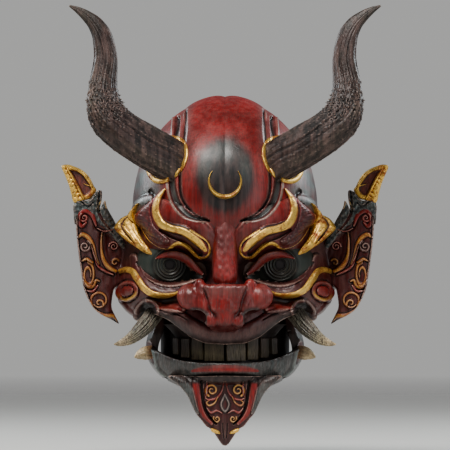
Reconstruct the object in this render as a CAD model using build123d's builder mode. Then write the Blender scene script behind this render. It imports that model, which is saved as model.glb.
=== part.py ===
"""A carved demon mask: a hollow face, two plug-in horns and a hinged lower jaw.

Frame: +Z is up and the face looks along -Y. The back rim lies in the plane Y = 0, and the origin is the
middle of that rim at eye height. "left" is the wearer's left, on the +X side. Sizes are in millimetres.
"""

import os
from math import cos, radians, sin

from build123d import *

os.makedirs("parts", exist_ok=True)

# ---- the carved form, as levels of (height, half width, depth from the back rim) ----
FACE_LEVELS = [
    (-60, 53, 84),
    (-42, 70, 87),
    (-28, 83, 86),
    (-10, 88, 85),
    (10, 84, 86),
    (35, 76, 92),
    (60, 74, 93),
    (85, 68, 87),
    (105, 56.5, 74),
    (120, 43, 57),
    (130, 28, 38),
    (136, 9, 13),
]
JAW_LEVELS = [
    (-97, 37, 78),
    (-88, 53, 91),
    (-76, 62, 95),
    (-62, 64, 92),
    (-50, 60.5, 84),
    (-30, 60, 78),
    (-8, 60, 70),
]
SQUARENESS = 2.4  # exponent of the superellipse that every level follows
LEVEL_POINTS = 11

face_wall = 7.0
rim_spare = 1.0  # what is sawn off behind the rim's plane
jaw_wall = 7.0
arm_outer, arm_starts = 60.0, -47.0  # the jaw's arms are flat outside above this height
lip_relief = 5.0  # how far carved bands stand proud of the face

# ---- mouth, eyes and nose ----
mouth_half = 61.0
upper_lip_middle, upper_lip_corner = -57.0, -36.0
lower_lip_middle, lower_lip_corner = -76.0, -57.0
cheek_bottom = -42.0
eye_x, eye_z, eye_long, eye_high, eye_tilt = 40.0, 0.5, 26.0, 10.5, 14.0
pupil_x, pupil_z, pupil_radius = 44.0, 2.0, 4.5
eyeball_radius, eyeball_depth, eye_wall, eye_back = 30.0, 46.0, 2.5, -50.0
nostril_x, nostril_radius = 15.5, 6.0

# ---- horns ----
horn_foot = Vector(48.4, -65.8, 87.2)
horn_way = Vector(0.84, -0.21, 0.5).normalized()
horn_radius = 18.0
tenon_radius, tenon_length, tenon_in_horn = 8.0, 24.0, 14.0
tenon_clearance = 0.1
socket_boss_radius = 14.5
collar_width, collar_height, collar_clearance = 3.4, 3.0, 0.4
# what the horn does past its straight foot: centre point and radius
HORN_STATIONS = [
    ((80.5, -73.5, 106.6), 17.2),
    ((95.0, -74.0, 120.0), 16.4),
    ((98.5, -71.0, 134.0), 14.0),
    ((97.5, -67.0, 150.0), 11.2),
    ((96.0, -63.0, 168.0), 10.0),
    ((99.5, -60.5, 186.0), 8.0),
    ((109.0, -60.0, 199.0), 5.2),
    ((124.0, -62.0, 209.5), 0.9),
]

# ---- tusks and jaw spikes ----
TUSK_STATIONS = [
    ((50.0, -46.0, -29.0), 6.6),
    ((58.5, -58.0, -40.0), 6.8),
    ((69.0, -69.0, -52.0), 5.6),
    ((79.0, -75.0, -59.0), 3.6),
    ((88.0, -79.0, -61.5), 0.8),
]
SPIKE_STATIONS = [
    ((58.0, -38.0, -68.0), 5.0),
    ((64.5, -40.0, -69.5), 5.0),
    ((69.0, -42.0, -71.0), 3.2),
    ((72.5, -44.0, -72.0), 0.8),
]

# ---- ears, drawn in the ear's own plane: across from the root, and height ----
ear_root_x, ear_root_y, ear_sweep, ear_thick = 80.0, -18.0, 20.0, 9.0
EAR_TIP = [(23.6, 60.8), (27.6, 65.6), (38.0, 77.6), (50.8, 80.8), (46.0, 65.6), (40.4, 52.2)]
EAR_COLLAR = [(6.8, 31.2), (17.5, 51.5), (20.5, 59.6), (23.6, 60.8), (40.4, 52.2), (41.2, 42.0), (25.0, 45.5)]
EAR_LEAF = [
    (-6.0, 22.0),
    (6.8, 31.2),
    (25.0, 45.5),
    (41.2, 42.0),
    (40.4, 30.0),
    (36.4, 5.6),
    (34.0, -18.4),
    (26.8, -34.4),
    (18.0, -42.4),
    (6.0, -45.6),
    (10.0, -36.8),
    (10.8, -26.4),
    (10.0, -16.0),
    (-6.0, -14.0),
]
ear_peg_radius, ear_peg_length = 2.5, 16.0
EAR_PEGS = [(75.0, 20.0), (81.0, -8.0)]  # (inner end's x, height)

# ---- brow carvings, in the front view ----
BROW = [
    (47.5, 62.5),
    (57.5, 51.0),
    (58.5, 41.0),
    (66.5, 35.0),
    (64.0, 24.0),
    (54.0, 15.0),
    (43.0, 19.0),
    (29.0, 13.5),
    (19.0, 6.5),
    (12.0, 10.5),
    (13.5, 20.0),
    (25.0, 30.0),
    (38.0, 35.5),
    (48.5, 40.5),
    (51.5, 50.0),
]
BROW_WING = [
    (61.0, 51.5),
    (67.0, 46.5),
    (76.0, 42.0),
    (84.0, 36.5),
    (87.0, 31.5),
    (84.0, 26.5),
    (76.0, 22.0),
    (67.0, 16.0),
    (56.0, 9.5),
    (64.0, 19.0),
    (67.5, 30.0),
    (66.0, 40.0),
]
wing_back, wing_front = -38.0, -66.0

# ---- hinge, stops and cord bushes ----
hinge_y, hinge_z = -20.0, -22.0
pin_radius, pin_clearance, pin_head_radius, pin_head_length = 2.5, 0.06, 5.0, 2.0
pin_inner, pin_outer = 51.2, 72.0
block_front, block_back, block_low, block_top, block_inner = -31.0, -5.0, -33.0, -4.0, 60.8
stop_y, stop_z, stop_radius, stop_inner = -8.5, -6.6, 2.0, 54.0
heel_top = -8.9
cord_y, cord_z, cord_hole_radius, bush_radius = -9.0, 16.0, 2.5, 3.5
bush_inner, flange_inner, bush_outer, bush_flange_radius = 74.0, 80.5, 84.6, 5.5

# ---- teeth ----
gum_thick, gum_low, gum_high, gum_back = 11.0, -57.0, -46.0, -49.0
# from the middle outwards: centre's x, width, lowest point, distance ahead of the rim
TEETH = [
    (8.2, 15.5, -75.0, 73.5),
    (21.0, 10.0, -74.0, 70.0),
    (30.0, 8.5, -72.5, 64.5),
    (37.5, 7.5, -70.0, 56.5),
]
tooth_thick, tooth_turn = 6.0, 1.5  # thickness, and degrees turned for each millimetre from the middle

# ---- the dark board behind the teeth ----
lining_half_width, lining_depth, lining_thick = 49.5, 69.0, 2.0
lining_low, lining_high, lining_back = -80.0, -44.0, -14.0

# ---- beard ----
BEARD_SIDE = [
    (41.0, -86.0),
    (33.0, -95.0),
    (25.0, -106.0),
    (18.0, -119.0),
    (12.0, -127.0),
    (9.0, -133.0),
    (0.0, -142.0),
]
beard_front, beard_back, beard_peg_radius = -84.0, -66.0, 3.0
CLAW = [(5.0, -129.0), (11.5, -128.0), (13.0, -131.0), (7.5, -133.5)]

# ---- forehead moon ----
moon_z, moon_outer, moon_inner, moon_rise, moon_relief = 69.0, 14.0, 12.6, 3.6, 2.2

pieces = []


def finish(part, name):
    """Labels one finished piece and writes it."""
    part.label = name
    export_step(part, f"parts/{name}.step")
    pieces.append(name)


def finish_pair(part, name):
    """Writes a left piece, and its mirror image as the right one."""
    finish(part, f"left_{name}")
    with BuildPart() as right:
        add(mirror(part, about=Plane.YZ))
    finish(right.part, f"right_{name}")


def half_round(width, depth, back):
    """Outline of one level: a superellipse in front of the rim, closed by a straight line at Y = back."""
    with BuildLine() as outline:
        points = []
        for step in range(LEVEL_POINTS):
            angle = radians(-90 + 180 * step / (LEVEL_POINTS - 1))
            across = abs(sin(angle)) ** (2 / SQUARENESS)
            ahead = abs(cos(angle)) ** (2 / SQUARENESS)
            points.append((width * across * (1 if angle > 0 else -1), -depth * ahead))
        curve = Spline(*points)
        Polyline(curve @ 1, (width, back), (-width, back), curve @ 0) if back > 0 else Line(curve @ 1, curve @ 0)
    return outline.line


def carved_form(levels, grow=0.0, back=0.0):
    """The solid inside a stack of levels, grown outwards by grow."""
    highest = max(height for height, _, _ in levels)
    with BuildPart() as form:
        for height, width, depth in levels:
            lift = grow if height == highest else 0.0
            with BuildSketch(Plane.XY.offset(height + lift)):
                with BuildLine():
                    add(half_round(width + grow, depth + grow, back))
                make_face()
        loft()
    return form.part


def round_loft(stations):
    """A tapering round limb through (centre, radius) stations."""
    centres = [Vector(*centre) for centre, _ in stations]
    with BuildPart() as limb:
        for i, (_, radius) in enumerate(stations):
            ahead = centres[min(i + 1, len(centres) - 1)] - centres[max(i - 1, 0)]
            with BuildSketch(Plane(origin=centres[i], z_dir=ahead, x_dir=Vector(0, 1, 0))):
                Circle(radius)
        loft()
    return limb.part


def front_prism(points, front=-140.0, back=-5.0, curved=True):
    """An outline in the front view, as a prism along Y."""
    with BuildPart() as prism:
        with BuildSketch(Plane.XZ.offset(-back)):
            with BuildLine():
                if curved:
                    Spline(*points, periodic=True)
                else:
                    Polyline(*points, close=True)
            make_face()
        extrude(amount=back - front)
    return prism.part


def rod(start, way, radius, length):
    """A plain round rod from start along way."""
    with BuildPart() as bar:
        with BuildSketch(Plane(origin=start, z_dir=way)):
            Circle(radius)
        extrude(amount=length)
    return bar.part


face_outer = carved_form(FACE_LEVELS, back=rim_spare)
face_proud = carved_form(FACE_LEVELS, grow=lip_relief)
cavity_levels = [(-90, 60, 80)] + [level for level in FACE_LEVELS if level[0] <= 130]
face_cavity = carved_form(cavity_levels, grow=-face_wall, back=2.0)

# ---- horn solids, which the collars and sockets are cut to ----
horn_axis_start = horn_foot - horn_way * tenon_length
horn_stations = [(tuple(horn_foot + horn_way * along), horn_radius) for along in (-14.0, 2.0, 18.0)]
horn_limb = round_loft(horn_stations + HORN_STATIONS)
tusk_limb = round_loft(TUSK_STATIONS)
spike_limb = round_loft(SPIKE_STATIONS)

# ---- face shell ----
with BuildPart() as socket_boss:
    add(rod(horn_foot - horn_way * (tenon_length + 2), horn_way, socket_boss_radius, tenon_length + 4))
    add(face_outer, mode=Mode.INTERSECT)

with BuildPart() as below_lip:
    with BuildSketch(Plane.XZ.offset(-10)):
        with BuildLine():
            lip = Spline(
                (-mouth_half, upper_lip_corner),
                (-mouth_half / 2, (upper_lip_middle + upper_lip_corner) / 2 - 6),
                (0, upper_lip_middle),
                (mouth_half / 2, (upper_lip_middle + upper_lip_corner) / 2 - 6),
                (mouth_half, upper_lip_corner),
            )
            Polyline(
                lip @ 1,
                (mouth_half + 3, cheek_bottom),
                (100, cheek_bottom),
                (100, -100),
                (-100, -100),
                (-100, cheek_bottom),
                (-mouth_half - 3, cheek_bottom),
                lip @ 0,
            )
        make_face()
    extrude(amount=150)

with BuildPart() as eye_socket:
    with BuildSketch(Plane.XZ.offset(30)):
        with Locations((eye_x, eye_z)):
            Ellipse(eye_long, eye_high, rotation=eye_tilt)
    extrude(amount=100)

with BuildPart() as nostril:
    add(rod(Vector(nostril_x, -100, -38), Vector(-0.1, 1, 0.25), nostril_radius, 60))

with BuildPart() as tenon_socket:
    add(
        rod(
            horn_foot - horn_way * (tenon_length + 4),
            horn_way,
            tenon_radius + tenon_clearance,
            tenon_length + 20,
        )
    )

with BuildPart() as ear_pegs:
    for peg_x, peg_z in EAR_PEGS:
        add(rod(Vector(peg_x, ear_root_y - 5, peg_z), Vector(1, 0, 0), ear_peg_radius, ear_peg_length))
    mirror(about=Plane.YZ)

with BuildPart() as cord_bore:
    add(rod(Vector(60, cord_y, cord_z), Vector(1, 0, 0), bush_radius, 40))

with BuildPart() as face_shell:
    add(face_outer)
    add(face_cavity, mode=Mode.SUBTRACT)
    for side in (socket_boss.part, mirror(socket_boss.part, about=Plane.YZ)):
        add(side)
    add(below_lip.part, mode=Mode.SUBTRACT)
    for cut in (eye_socket.part, nostril.part, tenon_socket.part, cord_bore.part, tusk_limb):
        add(cut, mode=Mode.SUBTRACT)
        add(mirror(cut, about=Plane.YZ), mode=Mode.SUBTRACT)
    add(ear_pegs.part, mode=Mode.SUBTRACT)
    Box(400, 50, 600, align=(Align.CENTER, Align.MIN, Align.CENTER), mode=Mode.SUBTRACT)  # the flat rim
finish(face_shell.part, "face_shell")
finish(ear_pegs.part, "ear_pegs")

# ---- horns, tenons and gilt collars ----
with BuildPart() as horn_tenon:
    add(rod(horn_axis_start, horn_way, tenon_radius, tenon_length + tenon_in_horn))
finish_pair(horn_tenon.part, "horn_tenon")

with BuildPart() as horn:
    add(horn_limb)
    add(face_outer, mode=Mode.SUBTRACT)
    add(horn_tenon.part, mode=Mode.SUBTRACT)
finish_pair(horn.part, "horn")

with BuildPart() as horn_collar:
    collar_radius = horn_radius + collar_clearance
    add(rod(horn_foot - horn_way * 16, horn_way, collar_radius + collar_width, 34))
    add(rod(horn_foot - horn_way * 20, horn_way, collar_radius, 44), mode=Mode.SUBTRACT)
    add(carved_form(FACE_LEVELS, grow=collar_height), mode=Mode.INTERSECT)
    add(face_outer, mode=Mode.SUBTRACT)
finish_pair(horn_collar.part, "horn_collar")

# ---- brow carvings ----
with BuildPart() as brow:
    add(front_prism(BROW))
    add(face_proud, mode=Mode.INTERSECT)
    add(face_outer, mode=Mode.SUBTRACT)
    add(eye_socket.part, mode=Mode.SUBTRACT)
finish_pair(brow.part, "brow_carving")

with BuildPart() as brow_wing:
    add(front_prism(BROW_WING, front=wing_front, back=wing_back, curved=False))
    for cut in (face_outer, brow.part):
        add(cut, mode=Mode.SUBTRACT)
finish_pair(brow_wing.part, "brow_wing")

# ---- eyes ----
with BuildPart() as eye:
    with Locations((pupil_x, -eyeball_depth, pupil_z)):
        Sphere(eyeball_radius)
        Sphere(eyeball_radius - eye_wall, mode=Mode.SUBTRACT)
    add(eye_socket.part, mode=Mode.INTERSECT)
    with Locations((0, eye_back, 0)):
        Box(200, 100, 100, align=(Align.CENTER, Align.MIN, Align.CENTER), mode=Mode.SUBTRACT)
    add(rod(Vector(pupil_x, 0, pupil_z), Vector(0, -1, 0), pupil_radius, 100), mode=Mode.SUBTRACT)
finish_pair(eye.part, "eye")

# ---- nose ----
nose_lobes = [
    Pos(*centre) * scale(Sphere(1), by=radii)
    for centre, radii in (
        ((0, -90, -22), (21, 31, 20)),
        ((0, -84, 12), (10, 19, 22)),
        ((26, -84, -19), (13, 20, 12)),
        ((-26, -84, -19), (13, 20, 12)),
    )
]
with BuildPart() as nose:
    for lobe in nose_lobes:
        add(lobe)
    add(face_outer, mode=Mode.SUBTRACT)
    for cut in (nostril.part, eye_socket.part, brow.part):
        add(cut, mode=Mode.SUBTRACT)
        add(mirror(cut, about=Plane.YZ), mode=Mode.SUBTRACT)
finish(nose.part, "nose")

# ---- forehead moon ----
with BuildPart() as moon:
    with BuildSketch(Plane.XZ.offset(60)):
        with Locations((0, moon_z)):
            Circle(moon_outer)
        with Locations((0, moon_z + moon_rise)):
            Circle(moon_inner, mode=Mode.SUBTRACT)
    extrude(amount=60)
    add(carved_form(FACE_LEVELS, grow=moon_relief), mode=Mode.INTERSECT)
    add(face_outer, mode=Mode.SUBTRACT)
finish(moon.part, "crescent_moon")

# ---- ears ----
ear_stretch = 1 / cos(radians(ear_sweep))
ear_way = Vector(cos(radians(ear_sweep)), -sin(radians(ear_sweep)), 0)
ear_face = (-sin(radians(ear_sweep)), -cos(radians(ear_sweep)), 0)
ear_plane = Plane(origin=(ear_root_x, ear_root_y, 0), x_dir=ear_way, z_dir=ear_face)


def ear_piece(points, thick):
    """A flat carving in the ear's plane."""
    stretched = [(across * ear_stretch, height) for across, height in points]
    with BuildPart() as piece:
        with BuildSketch(ear_plane):
            with BuildLine():
                Polyline(*stretched, close=True)
            make_face()
        extrude(amount=thick)
    return piece.part


with BuildPart() as ear:
    add(ear_piece(EAR_LEAF, ear_thick))
    add(face_outer, mode=Mode.SUBTRACT)
    add(ear_pegs.part, mode=Mode.SUBTRACT)
finish_pair(ear.part, "ear")

with BuildPart() as ear_collar:
    add(ear_piece(EAR_COLLAR, ear_thick))
    for cut in (face_outer, brow_wing.part):
        add(cut, mode=Mode.SUBTRACT)
finish_pair(ear_collar.part, "ear_collar")

with BuildPart() as ear_tip:
    add(ear_piece(EAR_TIP, ear_thick + 1))
finish_pair(ear_tip.part, "ear_tip")

# ---- tusks ----
with BuildPart() as tusk:
    add(tusk_limb)
finish_pair(tusk.part, "tusk")

# ---- teeth on their gum strip ----
with BuildPart() as lining_form:
    with BuildSketch(Plane.XY.offset(lining_low)):
        with BuildLine():
            add(half_round(lining_half_width, lining_depth, 2.0))
        make_face()
    extrude(amount=lining_high - lining_low)

with BuildPart() as lining:
    add(lining_form.part)
    with BuildSketch(Plane.XY.offset(lining_low)):
        with BuildLine():
            add(half_round(lining_half_width - lining_thick, lining_depth - lining_thick, 4.0))
        make_face()
    extrude(amount=lining_high - lining_low, mode=Mode.SUBTRACT)
    with Locations((0, lining_back, 0)):
        Box(200, 50, 300, align=(Align.CENTER, Align.MIN, Align.CENTER), mode=Mode.SUBTRACT)
finish(lining.part, "mouth_lining")

with BuildPart() as gum:
    with Locations((0, gum_back, gum_low)):
        Box(200, 100, gum_high - gum_low, align=(Align.CENTER, Align.MAX, Align.MIN))
    add(face_cavity, mode=Mode.INTERSECT)
    add(carved_form(cavity_levels, grow=-face_wall - gum_thick), mode=Mode.SUBTRACT)
    add(lining_form.part, mode=Mode.SUBTRACT)
    add(tusk_limb, mode=Mode.SUBTRACT)
    add(mirror(tusk_limb, about=Plane.YZ), mode=Mode.SUBTRACT)
finish(gum.part, "upper_gum")

with BuildPart() as teeth:
    for x, width, tip, ahead in TEETH:
        for side in (1, -1):
            with Locations(Location((side * x, -ahead, tip), (0, 0, side * x * tooth_turn))):
                Box(width, tooth_thick, gum_low - tip, align=(Align.CENTER, Align.CENTER, Align.MIN))
finish(teeth.part, "upper_teeth")

# ---- lower jaw ----
jaw_outer = carved_form(JAW_LEVELS)
jaw_cavity_levels = [(-89, 44, 84)] + [level for level in JAW_LEVELS if level[0] > -80] + [(0, 60, 66)]
jaw_cavity = carved_form(jaw_cavity_levels, grow=-jaw_wall, back=2.0)
with BuildPart() as above_lip:
    with BuildSketch(Plane.XZ.offset(40)):
        with BuildLine():
            lip = Spline(
                (-mouth_half - 5, lower_lip_corner),
                (-46, -71),
                (0, lower_lip_middle),
                (46, -71),
                (mouth_half + 5, lower_lip_corner),
            )
            Polyline(lip @ 1, (mouth_half + 5, 5), (-mouth_half - 5, 5), lip @ 0)
        make_face()
    extrude(amount=90)

with BuildPart() as arm_gap:
    # the arms rise behind the lip and narrow to the hinge
    with BuildSketch(Plane.YZ.offset(-80)):
        with BuildLine():
            Polyline(
                (-41, lower_lip_corner),
                (-32, -30),
                (-30, heel_top),
                (-30, 10),
                (-100, 10),
                (-100, lower_lip_corner),
                close=True,
            )
        make_face()
        with BuildLine():
            Polyline((-30, heel_top), (-30, 10), (10, 10), (10, heel_top), close=True)
        make_face()
        with BuildLine():
            Polyline((-5, 10), (-5, -40), (-12, -70), (-20, -110), (10, -110), (10, 10), close=True)
        make_face()
    extrude(amount=160)
    for side in (1, -1):
        with Locations((side * (arm_outer + 10), 0, arm_starts)):
            Box(20, 100, 60, align=(Align.CENTER, Align.CENTER, Align.MIN))

pin_bore = rod(Vector(40, hinge_y, hinge_z), Vector(1, 0, 0), pin_radius + pin_clearance, 40)
with BuildPart() as beard_pegs:
    for side in (1, -1):
        add(rod(Vector(side * 18, -76, -104), Vector(0, 0, 1), beard_peg_radius, 14))

with BuildPart() as lower_jaw:
    add(jaw_outer)
    add(jaw_cavity, mode=Mode.SUBTRACT)
    for cut in (above_lip.part, arm_gap.part, beard_pegs.part):
        add(cut, mode=Mode.SUBTRACT)
    for cut in (pin_bore, spike_limb):
        add(cut, mode=Mode.SUBTRACT)
        add(mirror(cut, about=Plane.YZ), mode=Mode.SUBTRACT)
finish(lower_jaw.part, "lower_jaw")

with BuildPart() as spike:
    add(spike_limb)
finish_pair(spike.part, "jaw_spike")

# ---- beard ----
with BuildPart() as beard:
    outline = BEARD_SIDE + [(-x, z) for x, z in reversed(BEARD_SIDE[:-1])]
    add(front_prism(outline, front=beard_front, back=beard_back, curved=False))
    for cut in (jaw_outer, beard_pegs.part):
        add(cut, mode=Mode.SUBTRACT)
finish(beard.part, "beard")
finish(beard_pegs.part, "beard_pegs")

with BuildPart() as claws:
    add(front_prism(CLAW, front=beard_front - 2.5, back=beard_front, curved=False))
    mirror(about=Plane.YZ)
finish(claws.part, "beard_claws")

# ---- hinge ----
pin_shank = rod(Vector(pin_inner, hinge_y, hinge_z), Vector(1, 0, 0), pin_radius, pin_outer - pin_inner)
stop_rod = rod(Vector(stop_inner, stop_y, stop_z), Vector(1, 0, 0), stop_radius, 16)
with BuildPart() as hinge_block:
    with Locations((block_inner, block_back, block_low)):
        Box(60, block_back - block_front, block_top - block_low, align=(Align.MIN, Align.MAX, Align.MIN))
    add(face_cavity, mode=Mode.INTERSECT)
    add(pin_shank, mode=Mode.SUBTRACT)
    add(stop_rod, mode=Mode.SUBTRACT)
finish_pair(hinge_block.part, "hinge_block")

with BuildPart() as hinge_pin:
    add(pin_shank)
    head_start = Vector(pin_inner - pin_head_length, hinge_y, hinge_z)
    add(rod(head_start, Vector(1, 0, 0), pin_head_radius, pin_head_length))
finish_pair(hinge_pin.part, "hinge_pin")

with BuildPart() as stops:
    add(stop_rod)
    mirror(about=Plane.YZ)
finish(stops.part, "jaw_stops")

# ---- cord bushes ----
with BuildPart() as bush:
    flange_start = Vector(flange_inner, cord_y, cord_z)
    add(rod(flange_start, Vector(1, 0, 0), bush_flange_radius, bush_outer - flange_inner))
    add(face_shell.part, mode=Mode.SUBTRACT)
    add(rod(Vector(bush_inner, cord_y, cord_z), Vector(1, 0, 0), bush_radius, bush_outer - bush_inner))
    add(rod(Vector(50, cord_y, cord_z), Vector(1, 0, 0), cord_hole_radius, 60), mode=Mode.SUBTRACT)
finish_pair(bush.part, "cord_bush")

print(len(pieces), "nodes")
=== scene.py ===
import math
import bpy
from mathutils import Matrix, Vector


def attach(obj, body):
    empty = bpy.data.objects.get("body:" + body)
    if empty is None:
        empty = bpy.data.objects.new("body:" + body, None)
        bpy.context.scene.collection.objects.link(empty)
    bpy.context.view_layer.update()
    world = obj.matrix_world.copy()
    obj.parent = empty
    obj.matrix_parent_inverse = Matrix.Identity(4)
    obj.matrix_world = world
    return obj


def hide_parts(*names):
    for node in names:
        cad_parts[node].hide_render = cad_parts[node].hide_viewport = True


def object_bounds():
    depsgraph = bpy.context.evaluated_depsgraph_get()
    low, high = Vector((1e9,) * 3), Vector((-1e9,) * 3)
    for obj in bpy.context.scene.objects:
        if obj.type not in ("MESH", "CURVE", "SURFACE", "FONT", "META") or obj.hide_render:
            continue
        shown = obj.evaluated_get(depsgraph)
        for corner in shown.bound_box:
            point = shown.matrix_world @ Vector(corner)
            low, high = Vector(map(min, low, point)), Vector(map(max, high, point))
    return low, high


bl_info = {
    "name": "Demon mask",
    "version": (1, 0, 0),
    "blender": (4, 5, 0),
    "location": "View3D > Sidebar > Demon mask",
    "description": "Carves, gilds and lacquers a horned demon mask over its fixed frame",
    "category": "Add Mesh",
}

import bpy
import numpy as np
from mathutils import Matrix, Vector

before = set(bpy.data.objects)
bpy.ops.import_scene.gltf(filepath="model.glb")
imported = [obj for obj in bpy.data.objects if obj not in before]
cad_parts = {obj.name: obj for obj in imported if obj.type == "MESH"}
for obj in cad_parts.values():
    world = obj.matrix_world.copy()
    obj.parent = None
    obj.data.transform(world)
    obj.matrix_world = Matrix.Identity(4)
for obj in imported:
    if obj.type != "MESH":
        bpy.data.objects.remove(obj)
cad_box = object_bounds()

MM = 0.001


def srgb(red, green, blue):
    """A colour given on the usual 0 to 255 scale, as the linear values that shaders use."""
    linear = []
    for value in (red, green, blue):
        c = value / 255
        linear.append(c / 12.92 if c <= 0.04045 else ((c + 0.055) / 1.055) ** 2.4)
    return tuple(linear)


# ---------------------------------------------------------------- sizes and colours


def colour(name, description, value):
    return bpy.props.FloatVectorProperty(
        name=name, description=description, subtype="COLOR", size=3, min=0.0, max=1.0, default=value
    )


def length(name, description, millimetres):
    return bpy.props.FloatProperty(
        name=name, description=description, unit="LENGTH", subtype="DISTANCE", default=millimetres * MM
    )


class MaskColours(bpy.types.PropertyGroup):
    red: colour("Red lacquer", "The forehead, nose and ears", srgb(146, 27, 21))
    # deep red: a lacquer of its own, also laid as painted shade in the hollows and on the undersides
    deep_red: colour("Deep red", "The lacquer around the eyes and in the hollows", srgb(78, 12, 12))
    plum: colour("Plum", "The rough lobes of the brows", srgb(80, 24, 28))
    ash: colour("Ash", "Worn lacquer on the rolls of the cheeks and lips", srgb(112, 84, 80))
    verdigris: colour("Grey green", "Temples, ear collars, lips and grooves", srgb(100, 114, 110))
    # black: the patch on the forehead, and also painted shade laid in the grooves, hollows, nostrils, mouth
    # and under the lips
    soot: colour("Soot", "Hollows and the patch on the forehead", srgb(18, 18, 19))
    gold: colour("Gold leaf", "Brows, wings and rims", srgb(240, 200, 112))
    rust: colour("Worn gold", "Where the leaf is rubbed through", srgb(158, 84, 34))
    # the dark horn is laid partly as painted shade in the furrows, the pale horn partly as painted highlight
    # on the ridges
    horn_dark: colour("Dark horn", "The furrows of horns and tusks", srgb(21, 16, 14))
    horn_pale: colour("Pale horn", "The rubbed ridges of horns and tusks", srgb(122, 118, 102))
    bone: colour("Bone", "The jaw's spikes and the tips of the tusks", srgb(222, 200, 158))
    tooth: colour("Smoked tooth", "Teeth", srgb(128, 116, 86))
    timber: colour("Bare wood", "The unpainted inside, pegs and blocks", srgb(112, 72, 42))
    floor: colour("Floor", "The floor", srgb(214, 212, 208))
    room: colour("Room", "The plain room behind the mask", (0.36, 0.36, 0.355))


class MaskSizes(bpy.types.PropertyGroup):
    wall: length("Wall", "Thickness of the face's wall", 7)
    furrow: length("Horn furrows", "Depth of the furrows along the horns", 0.9)
    camera_distance: length("Camera distance", "From the lens to the face", 4500)


# ---------------------------------------------------------------- the carved form
# Levels of the form: height, half width and depth in front of the back rim, in millimetres.
FACE_LEVELS = [
    (-66, 49, 83),
    (-60, 53, 84),
    (-42, 70, 87),
    (-28, 83, 86),
    (-10, 88, 85),
    (10, 84, 86),
    (35, 76, 92),
    (60, 74, 93),
    (85, 68, 87),
    (105, 56.5, 74),
    (120, 43, 57),
    (130, 28, 38),
    (135.5, 13, 19),
    (137, 0, 0),
]
SQUARENESS = 2.4


def smooth_line(points, steps=10, closed=False):
    """A smooth line through the points, as an array with one row for each step."""
    p = np.array(points, float)
    if closed:
        p = np.vstack([p[-1], p, p[0], p[1]])
    else:
        p = np.vstack([2 * p[0] - p[1], p, 2 * p[-1] - p[-2]])
    t = np.arange(steps)[:, None] / steps
    spans = []
    for a, b, c, d in zip(p[:-3], p[1:-2], p[2:-1], p[3:]):
        spans.append(
            0.5 * (2 * b + (c - a) * t + (2 * a - 5 * b + 4 * c - d) * t**2 + (3 * b - a - 3 * c + d) * t**3)
        )
    line = np.vstack(spans)
    return line if closed else np.vstack([line, p[-2]])


def ease(low, high, value):
    """0 below low, 1 above high and a smooth step between them."""
    t = np.clip((value - low) / (high - low), 0, 1)
    return t * t * (3 - 2 * t)


class Form:
    """A carved form: a superellipse at every height, closed by the plane of the back rim."""

    def __init__(self, levels, inset=0.0):
        line = smooth_line(levels, 12)
        self.z = np.maximum.accumulate(line[:, 0]) + np.arange(len(line)) * 1e-6
        self.w = np.maximum(line[:, 1] - inset, 0.02)
        self.d = np.maximum(line[:, 2] - inset, 0.02)
        run = np.hypot(np.hypot(np.diff(line[:, 0]), np.diff(line[:, 1])), np.diff(line[:, 2]))
        self.run = np.concatenate([[0], np.cumsum(run)])

    def width(self, z):
        return np.interp(z, self.z, self.w)

    def depth(self, z):
        return np.interp(z, self.z, self.d)

    def y(self, x, z):
        across = np.clip(np.abs(x) / np.maximum(self.width(z), 0.05), 0, 1)
        return -self.depth(z) * (1 - across**SQUARENESS) ** (1 / SQUARENESS)

    def place(self, x, z, rise):
        """The point of the form at x and z, lifted by rise: forwards on the front, outwards on the sides."""
        step = 0.3
        slope_x = (self.y(x + step, z) - self.y(x - step, z)) / (2 * step)
        slope_z = (self.y(x, z + step) - self.y(x, z - step)) / (2 * step)
        side = ease(1.3, 3.5, np.hypot(slope_x, slope_z))
        way = np.stack([slope_x * side, -np.ones_like(x), slope_z * side], axis=-1)
        way /= np.linalg.norm(way, axis=-1, keepdims=True)
        return np.stack([x, self.y(x, z), z], axis=-1) + way * np.asarray(rise)[..., None]


face_form = Form(FACE_LEVELS)
HORN_FOOT = np.array([48.4, -65.8, 87.2])
HORN_WAY = np.array([0.84, -0.21, 0.5])


# ---------------------------------------------------------------- chisels
def distance(x, z, line):
    """How far each point is from a line, and how far along the line its nearest point lies, from 0 to 1."""
    best = np.full(x.shape, 1e6)
    along = np.zeros(x.shape)
    count = len(line) - 1
    for i in range(count):
        ax, az = line[i]
        bx, bz = line[i + 1] - line[i]
        t = np.clip(((x - ax) * bx + (z - az) * bz) / (bx * bx + bz * bz + 1e-12), 0, 1)
        gap = np.hypot(x - ax - t * bx, z - az - t * bz)
        nearer = gap < best
        best[nearer] = gap[nearer]
        along[nearer] = (i + t[nearer]) / count
    return best, along


def near(x, z, line, reach):
    """Which points lie in the line's box, grown by reach."""
    low, high = line.min(0) - reach, line.max(0) + reach
    return (x > low[0]) & (x < high[0]) & (z > low[1]) & (z < high[1])


def stroke(x, z, points, widths, steps=8):
    """How close each point is to the middle of a stroke: 1 on its line and 0 at its edge and beyond."""
    line = smooth_line(points, steps)
    close = np.zeros(x.shape)
    where = near(x, z, line, max(widths) + 1)
    if where.any():
        gap, along = distance(x[where], z[where], line)
        half = np.interp(along, np.linspace(0, 1, len(widths)), widths)
        close[where] = np.clip(1 - gap / np.maximum(half, 1e-3), 0, 1)
    return close


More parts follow.
